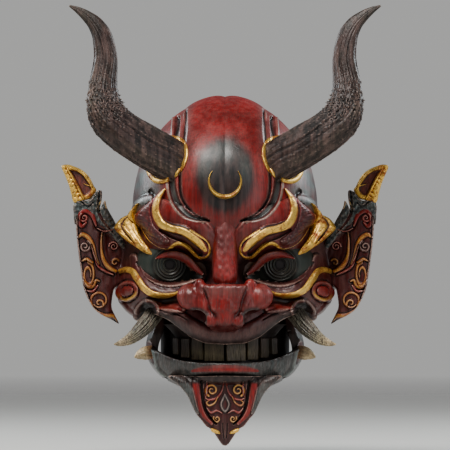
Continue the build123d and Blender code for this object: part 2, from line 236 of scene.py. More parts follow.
def inside(x, z, points, closed_steps=8):
    """How deep each point lies inside a smooth closed outline, in millimetres, and 0 outside."""
    line = smooth_line(points, closed_steps, closed=True)
    loop = np.vstack([line, line[0]])
    deep = np.zeros(x.shape)
    where = near(x, z, line, 0.5)
    if where.any():
        px, pz = x[where], z[where]
        hit = np.zeros(px.shape, bool)
        for (ax, az), (bx, bz) in zip(loop[:-1], loop[1:]):
            if az != bz:
                hit ^= ((az > pz) != (bz > pz)) & (px < (bx - ax) * (pz - az) / (bz - az) + ax)
        gap, _ = distance(px, pz, loop)
        deep[where] = np.where(hit, gap, 0)
    return deep


def blob(x, z, centre, radii, tilt=0.0):
    """A soft round swelling: 1 at its centre and 0 at its edge and beyond."""
    c, s = math.cos(math.radians(tilt)), math.sin(math.radians(tilt))
    u = ((x - centre[0]) * c + (z - centre[1]) * s) / radii[0]
    v = (-(x - centre[0]) * s + (z - centre[1]) * c) / radii[1]
    return np.clip(1 - u * u - v * v, 0, 1) ** 2


def dome(close):
    """The round section of a bead: 0 at its edge and 1 on top."""
    return np.sqrt(np.clip(1 - (1 - close) ** 2, 0, 1))


def wobble(x, z, size, seed):
    """Slow, even unevenness between -1 and 1, the same on every run."""
    rng = np.random.default_rng(seed)
    total = np.zeros(np.shape(x))
    for _ in range(7):
        angle, phase = rng.uniform(0, 2 * math.pi, 2)
        rate = rng.uniform(0.6, 1.7) * 2 * math.pi / size
        total += np.sin((x * math.cos(angle) + z * math.sin(angle)) * rate + phase)
    return total / 3.2


# ---------------------------------------------------------------- the relief of the face
# Outlines are in millimetres across from the middle, and up from eye level. Both sides are alike.
LIP_EDGE = [(0, -61.5), (16, -60.5), (27, -56), (36, -49), (45, -42), (53.5, -38.5), (61, -36), (66, -40),
    (71, -42), (95, -42)]
OUTER_GROOVE = [(38, 120), (39, 105), (40, 94.6), (41.8, 85), (42.4, 73), (41.4, 61), (38, 51), (32, 43.5),
    (25, 39.3), (12.5, 36.6)]
INNER_GROOVE = [(31, 125), (32, 107.6), (33.7, 94.6), (35.4, 79.8), (36, 66), (34.6, 55.5), (30.2, 47.7),
    (23.3, 41.6), (14, 37.4)]
EYE_OPENING = [
    (67, 8.5), (60.4, 9.4), (54, 7), (44.4, 6), (36.4, 5), (30, 0.5), (23.6, -4.6),
    (17.5, -8), (26.8, -10), (36.4, -11.6), (46, -12), (54.8, -10), (62, -5), (66.5, 1.6),
]
LOWER_LID = [(68.5, 8), (66.5, -1), (61, -7.6), (52.5, -12.4), (43, -13.8), (33.2, -12.6), (23, -9.6),
    (16, -7.5)]
CHEEK_ROLL = [(73, 8), (71, -2), (65, -11), (55.5, -16.6), (44.4, -18.6), (34.8, -17), (25.2, -13.4),
    (17, -9)]
SCROLL_RIM = [(87.6, -6), (88, -14), (84.5, -24), (79, -31.5), (73, -36.5), (66, -40)]
NASOLABIAL = [(62.5, -27.2), (56, -30.4), (48.5, -34), (40.5, -32.6), (34, -33.4)]
UPPER_LIP = [(55, -36), (46, -37.4), (36.5, -42.5), (27, -49), (14.5, -54.5), (0, -56)]
HOOK = [(59.5, 60.5), (57, 57.6), (58, 53), (62, 50.4)]
COIL_CENTRE = (77.2, -19.0)
TUSK_RING = (61.5, -34.5)
PATCH_CENTRE = (0, 72.5)


BROW_MASS = [(8, 12), (24, 26), (42, 34), (60, 44)]
def face_relief(x, z):
    """How far the carving stands proud of the face's form, in millimetres."""
    x = np.abs(x)
    rise = np.zeros(x.shape)
    # large forms: brow mass, sunken eyes, cheeks and muzzle
    rise += 6.5 * dome(stroke(x, z, BROW_MASS, [10, 15, 17, 14]))
    rise -= 13 * blob(x, z, (41, -2), (37, 23), 8)
    rise -= 5 * blob(x, z, (18, -4), (11, 20))
    rise += 6 * blob(x, z, (64, -20), (26, 24), -20)
    rise += 6 * blob(x, z, (0, -46), (60, 26))
    rise -= 6.5 * blob(x, z, (49, -27), (26, 7.5), -8)
    # the forehead's tongue between the grooves, and the grooves
    tongue = inside(x, z, [(0, 140), (31, 128), (32, 107), (35, 80), (35.6, 62), (30, 48), (22, 40.6),
        (0, 33)])
    rise += 2.2 * dome(np.clip(tongue / 9, 0, 1))
    rise -= 2.6 * stroke(x, z, INNER_GROOVE, [1.6, 1.8, 1.6, 0.8]) ** 0.8
    rise -= 3.6 * dome(stroke(x, z, OUTER_GROOVE, [2.0, 2.4, 2.6, 3.2, 3.2, 0.6]))
    rise += 1.1 * dome(stroke(x, z, [(p + 3.4, q - 0.6) for p, q in OUTER_GROOVE], [1.3, 1.3, 1.5, 1.3, 0.4]))
    # eyelids, cheek rolls and scrolls
    rise += 3.0 * dome(stroke(x, z, LOWER_LID, [1.2, 2.2, 2.4, 2.2, 0.8]))
    rise += 4.6 * dome(stroke(x, z, CHEEK_ROLL, [3.0, 5.6, 6.2, 5.4, 2.0]))
    rise -= 2.0 * stroke(x, z, [(p - 0.5, q + 5.6) for p, q in CHEEK_ROLL[1:6]], [1.2, 1.6, 1.2])
    rise += 2.4 * dome(stroke(x, z, SCROLL_RIM, [2.2, 2.6, 2.4, 1.6]))
    coil = np.hypot(x - COIL_CENTRE[0], z - COIL_CENTRE[1])
    rise += 3.4 * dome(np.clip(1 - np.abs(coil - 6.4) / 1.9, 0, 1)) + 3.2 * dome(
        np.clip(1 - coil / 4.2, 0, 1))
    rise -= 1.5 * ease(9.5, 8.6, coil) * ease(3.6, 5.0, coil)
    # the fold beside the nose, the lip and the ring that holds the tusk
    rise += 4.2 * dome(stroke(x, z, NASOLABIAL, [2.0, 4.4, 5.0, 4.0, 3.0]))
    rise += 5.4 * dome(stroke(x, z, UPPER_LIP, [4.0, 6.2, 8.0, 8.6, 8.6, 8.6]))
    rise -= 2.0 * stroke(x, z, [(56, -33.2), (46, -36), (38, -37.6), (30, -42)], [1.0, 1.4, 1.2, 0.6])
    ring = np.hypot(x - TUSK_RING[0], z - TUSK_RING[1])
    rise += 2.4 * dome(np.clip(1 - np.abs(ring - 8.2) / 1.5, 0, 1)) - 6.0 * ease(7.4, 4.0, ring)
    rise -= 2.4 * dome(stroke(x, z, HOOK, [2.0, 1.2, 0.7, 0.4]))
    # the tool marks of the carver
    calm = ease(60, 34, z)
    calm = calm * ease(0, 8, x)
    rise += 0.2 * calm * wobble(x, z, 9, 4) + 0.4 * calm * wobble(x, z, 38, 5)
    return rise


def face_colours(x, z, use):
    """The lacquer of every point of the face, and how far it is gilded."""
    x = np.abs(x)
    tint = np.empty(x.shape + (3,))
    tint[:] = use.red
    gilt = np.zeros(x.shape)

    def paint(amount, value):
        a = np.clip(amount, 0, 1)[..., None]
        tint[:] = tint * (1 - a) + np.array(value) * a

    paint(ease(50, 22, z) * 0.85, use.deep_red)
    paint(ease(44, 60, x) * ease(30, 52, z) * ease(112, 90, z) * (0.75 + 0.3 * wobble(x, z, 12, 7)),
        use.verdigris)
    paint(0.6 * ease(50, 60, x) * ease(34, 52, z) * ease(0.0, 0.8, wobble(x * 2.4, z * 0.35, 9, 13)),
        srgb(52, 58, 58))
    paint(0.8 * ease(60, 74, x) * ease(-4, 14, z) * ease(60, 40, z), use.ash)
    paint(0.45 * ease(22, 30, x) * ease(60, 90, z) * ease(40, 31, x), use.ash)
    # painted shade: the outer groove of the forehead is painted black
    paint(1.5 * stroke(x, z, OUTER_GROOVE, [2.6, 3.2, 3.4, 4.0, 3.8, 1.2]), use.soot)
    paint(0.75 * stroke(x, z, [(p - 1, q) for p, q in OUTER_GROOVE], [1.2, 1.8, 2.0, 2.0, 1.6, 0.4]),
        use.verdigris)
    # painted shade: the inner groove of the forehead is painted black
    paint(1.6 * stroke(x, z, INNER_GROOVE, [1.0, 1.2, 1.2, 0.6]), use.soot)
    paint(1.7 * stroke(x, z, [(p + 4.1, q - 1.4) for p, q in OUTER_GROOVE], [0.8, 1.1, 1.1, 1.1, 0.3]),
        (0.42, 0.32, 0.27))
    paint(1.4 * stroke(x, z, [(p - 1.2, q + 0.3) for p, q in INNER_GROOVE], [0.6, 0.8, 0.7, 0.3]), use.ash)
    reach = np.hypot(x / 26, (z - PATCH_CENTRE[1]) / 34) + 0.035 * wobble(x * 5, z * 0.5, 12, 9)
    paint(ease(1.06, 0.74, reach), use.soot)
    # painted highlight: a grey green patch at the top of the black patch
    crown = np.hypot(x / 12, (z - 94) / 12)
    paint(0.4 * ease(1.15, 0.1, crown), use.verdigris)
    side = np.hypot((x - 17) / 8, (z - 80) / 18)
    paint(0.28 * ease(1.2, 0.2, side), use.verdigris)
    # painted shade: the hollows round the eyes and under the cheeks are painted dark
    paint(0.9 * ease(0.08, 0.5, blob(x, z, (42, -1), (36, 17), 8)), use.soot)
    paint(0.8 * ease(0.1, 0.7, blob(x, z, (15, 0), (7, 22))), use.soot)
    paint(0.85 * ease(0.05, 0.5, blob(x, z, (49, -27), (27, 8), -8)), use.deep_red)
    paint(1.3 * stroke(x, z, LOWER_LID, [1.6, 2.6, 2.8, 2.4, 1.0]), use.deep_red)
    paint(1.1 * stroke(x, z, [(p, q + 0.9) for p, q in LOWER_LID], [0.6, 0.8, 0.8, 0.5, 0.3]),
        (0.13, 0.05, 0.04))
    paint(1.3 * stroke(x, z, CHEEK_ROLL, [3.0, 5.8, 6.4, 5.2, 2.0]), use.deep_red)
    coil = np.hypot(x - COIL_CENTRE[0], z - COIL_CENTRE[1])
    paint(ease(12, 9.5, coil) * 0.8, use.deep_red)
    paint(ease(8.6, 7.2, coil) * 0.9, use.red)
    paint(1.5 * stroke(x, z, SCROLL_RIM, [2.0, 2.0, 1.6, 1.2]), use.ash)
    glint = np.clip(1 - np.abs(coil - 6.2) / 1.3, 0, 1) * ease(2, -5, z - COIL_CENTRE[1]) * ease(4, -2,
        x - COIL_CENTRE[0] - 3)
    paint(1.2 * glint, use.rust)
    gilt = np.maximum(gilt, 0.8 * np.clip(1.4 * glint, 0, 1))
    paint(1.0 * stroke(x, z, NASOLABIAL, [2.0, 4.0, 4.6, 4.0, 3.0]), use.red)
    paint(1.5 * stroke(x, z, UPPER_LIP, [4.0, 6.0, 8.0, 9.0, 9.0, 9.0])
        * (0.8 + 0.25 * wobble(x * 5, z, 14, 3)), np.array(use.ash) * 0.5 + np.array(use.deep_red) * 0.35)
    # painted shade: the lowest edge of the upper lip, where it turns into the mouth, is painted black
    paint(0.85 * ease(6, 1, z - np.interp(x, *np.array(LIP_EDGE).T)), use.soot)
    paint(0.7 * ease(18, 4, x) * ease(-38, -46, z) * ease(-58, -50, z), use.deep_red)
    ring = np.hypot(x - TUSK_RING[0], z - TUSK_RING[1])
    paint(1.4 * np.clip(1 - np.abs(ring - 8.4) / 1.4, 0, 1), use.ash)
    # painted shade: the sunken socket inside the ring is painted black
    paint(ease(7.2, 6.0, ring), use.soot)
    # painted shade: the carved hook is painted black
    paint(1.4 * stroke(x, z, HOOK, [2.4, 1.6, 1.0, 0.6]), use.soot)
    # a dark red stripe down the side of the temple
    paint(1.2 * stroke(x, z, [(73, 78), (73.6, 66), (72.4, 54)], [1.4, 2.0, 0.8]), use.deep_red)
    return tint, gilt


# ---------------------------------------------------------------- meshes


def new_piece(name, points, faces, tint=None, gilt=None):
    """A mesh object from points in millimetres, with its lacquer and gilding as attributes."""
    mesh = bpy.data.meshes.new(name)
    mesh.from_pydata(np.asarray(points, float) * MM, [], faces)
    mesh.validate()
    piece = bpy.data.objects.new(name, mesh)
    bpy.context.scene.collection.objects.link(piece)
    if tint is not None:
        put_paint(piece, tint, gilt)
    return piece


def put_paint(piece, tint, gilt):
    """Stores every point's colour and gilding on the mesh."""
    mesh = piece.data
    for name in ("tint", "gilt"):
        if name in mesh.attributes:
            mesh.attributes.remove(mesh.attributes[name])
    rgba = np.ones((len(mesh.vertices), 4), np.float32)
    rgba[:, :3] = np.clip(tint, 0, 1)
    mesh.attributes.new("tint", "FLOAT_COLOR", "POINT").data.foreach_set("color", rgba.ravel())
    shine = np.zeros(len(mesh.vertices), np.float32)
    if gilt is not None:
        shine[:] = np.clip(gilt, 0, 1)
    mesh.attributes.new("gilt", "FLOAT", "POINT").data.foreach_set("value", shine)


def points_of(piece):
    """The piece's points, in millimetres."""
    co = np.empty(len(piece.data.vertices) * 3, np.float32)
    piece.data.vertices.foreach_get("co", co)
    return co.reshape(-1, 3).astype(float) / MM


def normals_of(piece):
    no = np.empty(len(piece.data.vertices) * 3, np.float32)
    piece.data.vertices.foreach_get("normal", no)
    return no.reshape(-1, 3).astype(float)


def move_points(piece, points):
    piece.data.vertices.foreach_set("co", (np.asarray(points) * MM).astype(np.float32).ravel())
    piece.data.update()


def feel_edges(piece, passes=2, reach=0.35):
    """Stores how far each point stands on an edge (1) or in a hollow (-1), for worn edges with painted
    highlight, and painted shade in the hollows.
    """
    mesh = piece.data
    count = len(mesh.vertices)
    ends = np.empty(len(mesh.edges) * 2, np.int64)
    mesh.edges.foreach_get("vertices", ends)
    a, b = ends[0::2], ends[1::2]
    valence = np.maximum(np.bincount(a, minlength=count) + np.bincount(b, minlength=count), 1)

    def averaged(values):
        total = np.bincount(a, values[b], count) + np.bincount(b, values[a], count)
        return total / valence

    co, no = points_of(piece), normals_of(piece)
    centre = np.stack([averaged(co[:, i]) for i in range(3)], axis=1)
    bend = np.einsum("ij,ij->i", co - centre, no)
    span = np.linalg.norm(co[a] - co[b], axis=1)
    spacing = np.bincount(a, span, count) + np.bincount(b, span, count)
    spacing = np.maximum(spacing / valence, 0.05)
    edge = bend / spacing / reach
    for _ in range(passes):
        edge = 0.5 * edge + 0.5 * averaged(edge)
    if "edge" in mesh.attributes:
        mesh.attributes.remove(mesh.attributes["edge"])
    mesh.attributes.new("edge", "FLOAT", "POINT").data.foreach_set("value",
        np.clip(edge, -1, 1).astype(np.float32))


def select_only(piece):
    bpy.ops.object.select_all(action="DESELECT")
    piece.select_set(True)
    bpy.context.view_layer.objects.active = piece


def edit(piece, *steps):
    """Runs edit mode operators on the whole piece."""
    select_only(piece)
    bpy.ops.object.mode_set(mode="EDIT")
    bpy.ops.mesh.select_all(action="SELECT")
    for step in steps:
        step()
    bpy.ops.object.mode_set(mode="OBJECT")


def tidy_mesh(piece, gap=0.01):
    """Merges doubles and turns every face outwards."""
    edit(
        piece,
        lambda: bpy.ops.mesh.remove_doubles(threshold=gap * MM),
        lambda: bpy.ops.mesh.normals_make_consistent(inside=False),
    )


def apply_modifier(piece, kind, **settings):
    select_only(piece)
    modifier = piece.modifiers.new(kind.title(), kind)
    for key, value in settings.items():
        setattr(modifier, key, value)
    bpy.ops.object.modifier_apply(modifier=modifier.name)


def smooth(piece, degrees=40):
    select_only(piece)
    bpy.ops.object.shade_smooth_by_angle(angle=math.radians(degrees))


def painted(piece, paint, degrees=60, merge=None, clean=True, **edges):
    """Gives a piece its paint, merges its doubles, feels its edges and smooths it."""
    put_paint(piece, paint.tint, paint.gilt)
    if clean:
        tidy_mesh(piece) if merge is None else tidy_mesh(piece, merge)
    feel_edges(piece, **edges)
    smooth(piece, degrees)
    return piece


def remesh(piece, voxel):
    """Rebuilds a closed solid as even quads of the given size in millimetres."""
    select_only(piece)
    piece.data.remesh_voxel_size = voxel * MM
    piece.data.remesh_voxel_adaptivity = 0
    bpy.ops.object.voxel_remesh()


def remove(piece):
    mesh = piece.data
    bpy.data.objects.remove(piece)
    bpy.data.meshes.remove(mesh)


def mirrored(piece, name):
    """The same piece for the other side of the face."""
    other = piece.copy()
    other.data = piece.data.copy()
    other.name = name
    other.data.name = name
    bpy.context.scene.collection.objects.link(other)
    other.data.transform(Matrix.Scale(-1, 4, Vector((1, 0, 0))))
    other.data.flip_normals()
    return other


def fit(piece, body, slot, material, *nodes):
    """Puts a finished piece on its body, in place of the plain solids it stands for."""
    piece.data.materials.clear()
    piece.data.materials.append(material)
    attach(piece, body)
    if nodes:
        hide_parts(*nodes)


def fit_pair(piece, name, body, slot, material, *nodes):
    """Fits a left piece and its mirror image, whose bodies and nodes start with left_ and right_."""
    piece.name = f"left_{name}"
    piece.data.name = piece.name
    twin = mirrored(piece, f"right_{name}")
    for side, one in (("left", piece), ("right", twin)):
        own = body.replace("SIDE", side)
        fit(one, own, slot, material, *[f"{side}_{n}" for n in nodes])
    return piece, twin


def ring_faces(rings, around, closed=True, start=0):
    """Quads between successive rings of points."""
    faces = []
    last = around if closed else around - 1
    for r in range(rings - 1):
        for i in range(last):
            j = (i + 1) % around
            a = start + r * around
            faces.append((a + i, a + j, a + around + j, a + around + i))
    return faces


def strap(name, line, halves, rises, ground, section=None, spacing=0.6, across=12, sink=1.4, tip=True):
    """A carved band laid along a line on the face: its half widths and heights run from end to end."""
    path = smooth_line(line, 12)
    run = np.concatenate([[0], np.cumsum(np.hypot(*np.diff(path, axis=0).T))])
    count = max(int(run[-1] / spacing), 8)
    at = np.linspace(0, run[-1], count)
    centre = np.stack([np.interp(at, run, path[:, i]) for i in range(2)], axis=1)
    ahead = np.gradient(centre, axis=0)
    ahead /= np.linalg.norm(ahead, axis=1, keepdims=True) + 1e-9
    aside = np.stack([-ahead[:, 1], ahead[:, 0]], axis=1)
    share = at / run[-1]
    half = np.interp(share, np.linspace(0, 1, len(halves)), halves)
    rise = np.interp(share, np.linspace(0, 1, len(rises)), rises)
    offsets = np.sin(np.linspace(-1, 1, across) * math.pi / 2)
    top = np.sqrt(np.clip(1 - offsets**2, 0, 1)) if section is None else section(offsets)
    px = centre[:, 0:1] + aside[:, 0:1] * half[:, None] * offsets
    pz = centre[:, 1:2] + aside[:, 1:2] * half[:, None] * offsets
    base = ground(px, pz)
    upper = face_form.place(px, pz, base + rise[:, None] * top)
    lower = face_form.place(px, pz, base - sink)
    loop = np.concatenate([upper, lower[:, ::-1]], axis=1)
    around = loop.shape[1]
    points = loop.reshape(-1, 3)
    faces = ring_faces(count, around)
    faces.append(tuple(range(around))[::-1])
    faces.append(tuple(range((count - 1) * around, count * around)))
    return new_piece(name, points, faces), np.repeat(share,
        around), np.tile(np.concatenate([offsets, offsets[::-1]]), count)


# ---------------------------------------------------------------- finishes


def wood_finish(name, use, plain=None, grain=0.5, wear=0.8, rough=0.42, bump=0.35, way=(1, 1, 0.06),
    gilded=True, coat=0.25):
    """Carved wood under lacquer: grain along one way, worn edges that are partly painted highlight, painted
    shade in the hollows, gold leaf where gilded.

    The colour is the piece's own "tint", or plain where one is given.
    """
    material = bpy.data.materials.new(name)
    material.use_nodes = True
    tree = material.node_tree
    tree.nodes.clear()
    new, join = tree.nodes.new, tree.links.new

    def value(kind, **settings):
        node = new(kind)
        for key, setting in settings.items():
            if key in node.inputs:
                node.inputs[key].default_value = setting
            else:
                setattr(node, key, setting)
        return node

    def mix(factor, one, two, blend="MIX"):
        node = value("ShaderNodeMix", data_type="RGBA", blend_type=blend)
        for socket, source in ((0, factor), (6, one), (7, two)):
            if isinstance(source, bpy.types.NodeSocket):
                join(source, node.inputs[socket])
            elif socket == 0:
                node.inputs[0].default_value = source
            else:
                node.inputs[socket].default_value = (*source, 1)
        return node.outputs[2]

    def span(source, low, high, to_low=0.0, to_high=1.0):
        node = value("ShaderNodeMapRange", interpolation_type="SMOOTHSTEP")
        join(source, node.inputs[0])
        for i, setting in enumerate((low, high, to_low, to_high)):
            node.inputs[i + 1].default_value = setting
        return node.outputs[0]

    def maths(operation, one, two):
        node = value("ShaderNodeMath", operation=operation)
        for i, source in enumerate((one, two)):
            if isinstance(source, bpy.types.NodeSocket):
                join(source, node.inputs[i])
            else:
                node.inputs[i].default_value = source
        return node.outputs[0]

    where = value("ShaderNodeTexCoord").outputs["Object"]
    stretch = value("ShaderNodeMapping")
    join(where, stretch.inputs["Vector"])
    stretch.inputs["Scale"].default_value = way

    def noise(source, scale, detail=4.0, roughness=0.6):
        node = value("ShaderNodeTexNoise", Scale=scale, Detail=detail, Roughness=roughness)
        join(source, node.inputs["Vector"])
        return node.outputs["Fac"]

    fibre = noise(stretch.outputs[0], 900, 5)
    streak = noise(stretch.outputs[0], 230, 3)
    cloud = noise(where, 42, 5)
    speck = noise(where, 620, 3, 0.7)
    edge = value("ShaderNodeAttribute", attribute_name="edge").outputs["Fac"]
    if plain is None:
        paint = value("ShaderNodeAttribute", attribute_name="tint").outputs["Color"]
    else:
        paint = mix(0.0, plain, plain)
    shaded = mix(span(fibre, 0.3, 0.62, grain, 0.0), paint, (0.012, 0.009, 0.008))
    shaded = mix(span(streak, 0.36, 0.7, 0.0, 0.3 * grain), shaded, (0.36, 0.22, 0.19), "SCREEN")
    shaded = mix(span(cloud, 0.32, 0.62, 0.45, 0.0), shaded, (0.03, 0.012, 0.01))
    # painted shade: the hollows are darkened towards near black
    hollow_shade = maths("MULTIPLY", span(edge, -0.04, -0.5), 0.92)
    shaded = mix(hollow_shade, shaded, (0.011, 0.009, 0.009))
    # the edges are lightened: partly worn lacquer, partly painted highlight
    worn = maths("MULTIPLY", span(edge, 0.1, 0.75), span(maths("ADD", speck, cloud), 0.75, 1.15, 0.25, 1.0))
    shaded = mix(maths("MULTIPLY", worn, wear), shaded, (0.5, 0.36, 0.3))
    gloss = span(cloud, 0.3, 0.7, rough - 0.07, rough + 0.14)
    metal = None
    if gilded:
        gilt = value("ShaderNodeAttribute", attribute_name="gilt").outputs["Fac"]
        rubbed = span(maths("ADD", noise(where, 95, 5), maths("MULTIPLY", speck, 0.35)), 0.66, 0.86)
        # in the hollows the leaf also turns to worn gold, as painted shade
        rubbed = maths("MAXIMUM", rubbed, maths("MULTIPLY", span(edge, -0.02, -0.35), 0.9))
        crack = value("ShaderNodeTexVoronoi", feature="DISTANCE_TO_EDGE", Scale=150.0, Randomness=1.0)
        bent = value("ShaderNodeVectorMath", operation="ADD")
        join(where, bent.inputs[0])
        shift = value("ShaderNodeVectorMath", operation="SCALE", Scale=0.006)
        swirl = value("ShaderNodeTexNoise", Scale=210.0, Detail=3.0)
        join(where, swirl.inputs["Vector"])
        join(swirl.outputs["Color"], shift.inputs[0])
        join(shift.outputs[0], bent.inputs[1])
        join(bent.outputs[0], crack.inputs["Vector"])
        cracked = maths("MULTIPLY", span(crack.outputs["Distance"], 0.022, 0.006), span(cloud, 0.4, 0.6))
        leaf = mix(rubbed, tuple(use.gold), tuple(use.rust))
        leaf = mix(span(speck, 0.62, 0.72, 0.0, 0.55), leaf, (0.16, 0.07, 0.03))
        leaf = mix(maths("MULTIPLY", cracked, 0.85), leaf, (0.03, 0.015, 0.01))
        # painted shade: the leaf darkens in the hollows
        leaf = mix(maths("MULTIPLY", span(edge, -0.15, -0.7), 0.8), leaf, (0.04, 0.02, 0.01))
        shaded = mix(gilt, shaded, leaf)
        metal = maths("MULTIPLY", gilt, span(rubbed, 0.2, 0.9, 0.75, 0.25))
    shader = new("ShaderNodeBsdfPrincipled")
    join(shaded, shader.inputs["Base Color"])
    join(gloss, shader.inputs["Roughness"])
    if metal is not None:
        join(metal, shader.inputs["Metallic"])
    shader.inputs["Coat Weight"].default_value = coat
    shader.inputs["Coat Roughness"].default_value = 0.3
    height = maths("ADD", maths("MULTIPLY", fibre, 0.6), maths("ADD", maths("MULTIPLY", speck, 0.35), streak))
    relief = value("ShaderNodeBump", Strength=bump, Distance=0.0006)
    join(height, relief.inputs["Height"])
    join(relief.outputs[0], shader.inputs["Normal"])
    join(shader.outputs[0], new("ShaderNodeOutputMaterial").inputs["Surface"])
    return material


# ---------------------------------------------------------------- the face


def face_shell(use, sizes):
    """The hollow face: a carved front, a chiselled back and the rim between them."""
    columns, rows, coarse = 300, 268, 3
    half_turn = np.linspace(-90, 90, 1801)
    angle = np.radians(half_turn)
    x = 80 * np.sign(angle) * np.abs(np.sin(angle)) ** (2 / SQUARENESS)
    y = 87 * np.abs(np.cos(angle)) ** (2 / SQUARENESS)
    step = np.hypot(np.diff(x), np.diff(y)) * np.where(np.abs(x[1:]) < 76, 1.0, 0.45)
    run = np.concatenate([[0], np.cumsum(step)])
    turn = np.interp(np.linspace(0, run[-1], columns + 1), run, angle)
    across = np.sign(turn) * np.abs(np.sin(turn)) ** (2 / SQUARENESS)
    across[0], across[-1] = -1, 1

    def grid(form, cols, count, low_edge):
        """Points in front-view millimetres for a stack of rows over the form."""
        low = np.full(len(cols), -45.0)
        for _ in range(30):
            low = 0.5 * low + 0.5 * np.interp(np.abs(cols) * form.width(low), *np.array(low_edge).T)
        top_run = form.run[-1]
        low_run = np.interp(low, form.z, form.run)
        # rows stand closer over the carved front than over the crown
        share = np.linspace(0, 1, count + 1)
        share = np.where(share < 0.84, share * 0.76 / 0.84, 0.76 + (share - 0.84) * 0.24 / 0.16)
        at = low_run[None, :] + share[:, None] * (top_run - low_run)[None, :]
        z = np.interp(at, form.run, form.z)
        return cols[None, :] * np.interp(at, form.run, form.w), z

    gx, gz = grid(face_form, across, rows, LIP_EDGE)
    gx, gz = snapped(gx, gz, EYE_OPENING, 0.36)
    outer = face_form.place(gx, gz, face_relief(gx, gz) * ease(0, 14, -face_form.y(gx, gz)))
    back_form = Form(FACE_LEVELS, inset=sizes.wall / MM)
    few, low_rows = across[::coarse], rows // coarse
    bx, bz = grid(back_form, few, low_rows, LIP_EDGE)
    scoops = 0.45 * np.abs(wobble(bx, bz, 11, 21)) + 0.3 * np.abs(wobble(bx, bz, 6, 22))
    bx, bz = snapped(bx, bz, EYE_OPENING, 1.1)
    inner = back_form.place(bx, np.minimum(bz, 131.5), 0 * bx)
    inner[..., 1] += scoops * ease(0, 12, -inner[..., 1])
    inner[:, 0, 1] = inner[:, -1, 1] = 0
    many, width = columns + 1, len(few)
    start = (rows + 1) * many
    row, column = np.nonzero(~open_cells(gx, gz, outer, EYE_OPENING))
    a = row * many + column
    faces = np.stack([a, a + 1, a + many + 1, a + many], axis=1).tolist()
    row, column = np.nonzero(~open_cells(bx, bz, inner, EYE_OPENING))
    a = start + row * width + column
    faces += np.stack([a, a + width, a + width + 1, a + 1], axis=1).tolist()
    # the rim and the underside of the lip join the fine front to the coarser back
    front_loop = [c for c in range(many)] + [r * many + columns for r in range(1, rows + 1)]
    front_loop += [r * many for r in range(rows, 0, -1)]
    back_loop = [start + c for c in range(width)] + [start + r * width + width
        - 1 for r in range(1, len(inner))]
    back_loop += [start + r * width for r in range(len(inner) - 1, 0, -1)]
    share_back = len(back_loop) / len(front_loop)
    for i in range(len(front_loop)):
        a, b = front_loop[i], front_loop[(i + 1) % len(front_loop)]
        k, m = int(i * share_back), int((i + 1) * share_back)
        faces.append((b, a, back_loop[k % len(back_loop)]))
        if m != k:
            faces.append((b, back_loop[k % len(back_loop)], back_loop[m % len(back_loop)]))
    # the edge of each eye's opening
    walls = []
    line = smooth_line(EYE_OPENING, 12, closed=True)
    base = (rows + 1) * many + inner.shape[0] * width
    for side in (1, -1):
        ex, ez = side * line[:, 0], line[:, 1]
        lip = face_form.place(ex, ez, face_relief(ex, ez))
        depths = [lip + (0, shift, 0) for shift in (-0.05, 0.5, 2.5)]
        depths.append(back_form.place(ex, ez, 0 * ex) + (0, 0.4, 0))
        faces += ring_faces(len(depths), len(line), start=base + len(walls) * len(line))
        walls += depths
    walls = np.concatenate(walls)
    points = np.concatenate([outer.reshape(-1, 3), inner.reshape(-1, 3), walls])
    tint, gilt = face_colours(gx, gz, use)
    bare = np.empty((inner.shape[0] * inner.shape[1] + len(walls), 3))
    bare[:] = use.timber
    # painted shade: the walls of the eye openings are painted black
    bare[-len(walls) :] = use.soot
    tint = np.concatenate([tint.reshape(-1, 3), bare])
    gilt = np.concatenate([gilt.ravel(), np.zeros(len(bare))])
    piece = new_piece("carved_face", points, faces, tint, gilt)
    tidy_mesh(piece, 0.02)
    return piece


def turned(name, start, way, sections, around=48, bored=False):
    """A turned solid of (distance along the way, radius) pairs. A bored one has no caps: its ends join."""
    way = np.array(way, float) / np.linalg.norm(way)
    one = np.cross(way, (0, 1, 0) if abs(way[1]) < 0.9 else (1, 0, 0))
    one /= np.linalg.norm(one)
    two = np.cross(way, one)
    angle = np.linspace(0, 2 * math.pi, around, endpoint=False)[:, None]
    points = [np.array(start) + way * at + r * (np.cos(angle) * one + np.sin(angle) * two) for at,
        r in sections]
    faces = ring_faces(len(sections), around)
    last = (len(sections) - 1) * around
    if bored:
        faces += [(last + i, last + (i + 1) % around, (i + 1) % around, i) for i in range(around)]
    else:
        faces += [tuple(range(around))[::-1], tuple(range(last, last + around))]
    return new_piece(name, np.concatenate(points), faces)


def snapped(x, z, outline, reach):
    """Draws the grid points that lie close to an outline onto it, on both sides of the face."""
    line = smooth_line(outline, 8, closed=True)
    gap, foot_x, foot_z = foot_on(np.abs(x), z, np.vstack([line, line[0]]))
    close = gap < reach
    return np.where(close, np.sign(x) * foot_x, x), np.where(close, foot_z, z)


def open_cells(x, z, spots, outline):
    """Which cells of a grid lie in the eye's outline, in a horn's socket or in a cord's hole."""
    def middle(values):
        return (values[:-1, :-1] + values[1:, :-1] + values[:-1, 1:] + values[1:, 1:]) / 4

    gone = inside(np.abs(middle(x)), middle(z), outline) > 0
    centre = np.stack([middle(spots[..., i]) for i in range(3)], axis=-1)
    centre[..., 0] = np.abs(centre[..., 0])
    way = HORN_WAY / np.linalg.norm(HORN_WAY)
    off = centre - HORN_FOOT
    along = off @ way
    gone |= (np.linalg.norm(off - along[..., None] * way, axis=-1) < 8.0) & (np.abs(along) < 30)
    gone |= (np.hypot(centre[..., 1] + 9, centre[..., 2] - 16) < 3.2) & (centre[..., 0] > 60)
    return gone


# ---------------------------------------------------------------- lights, floor and camera


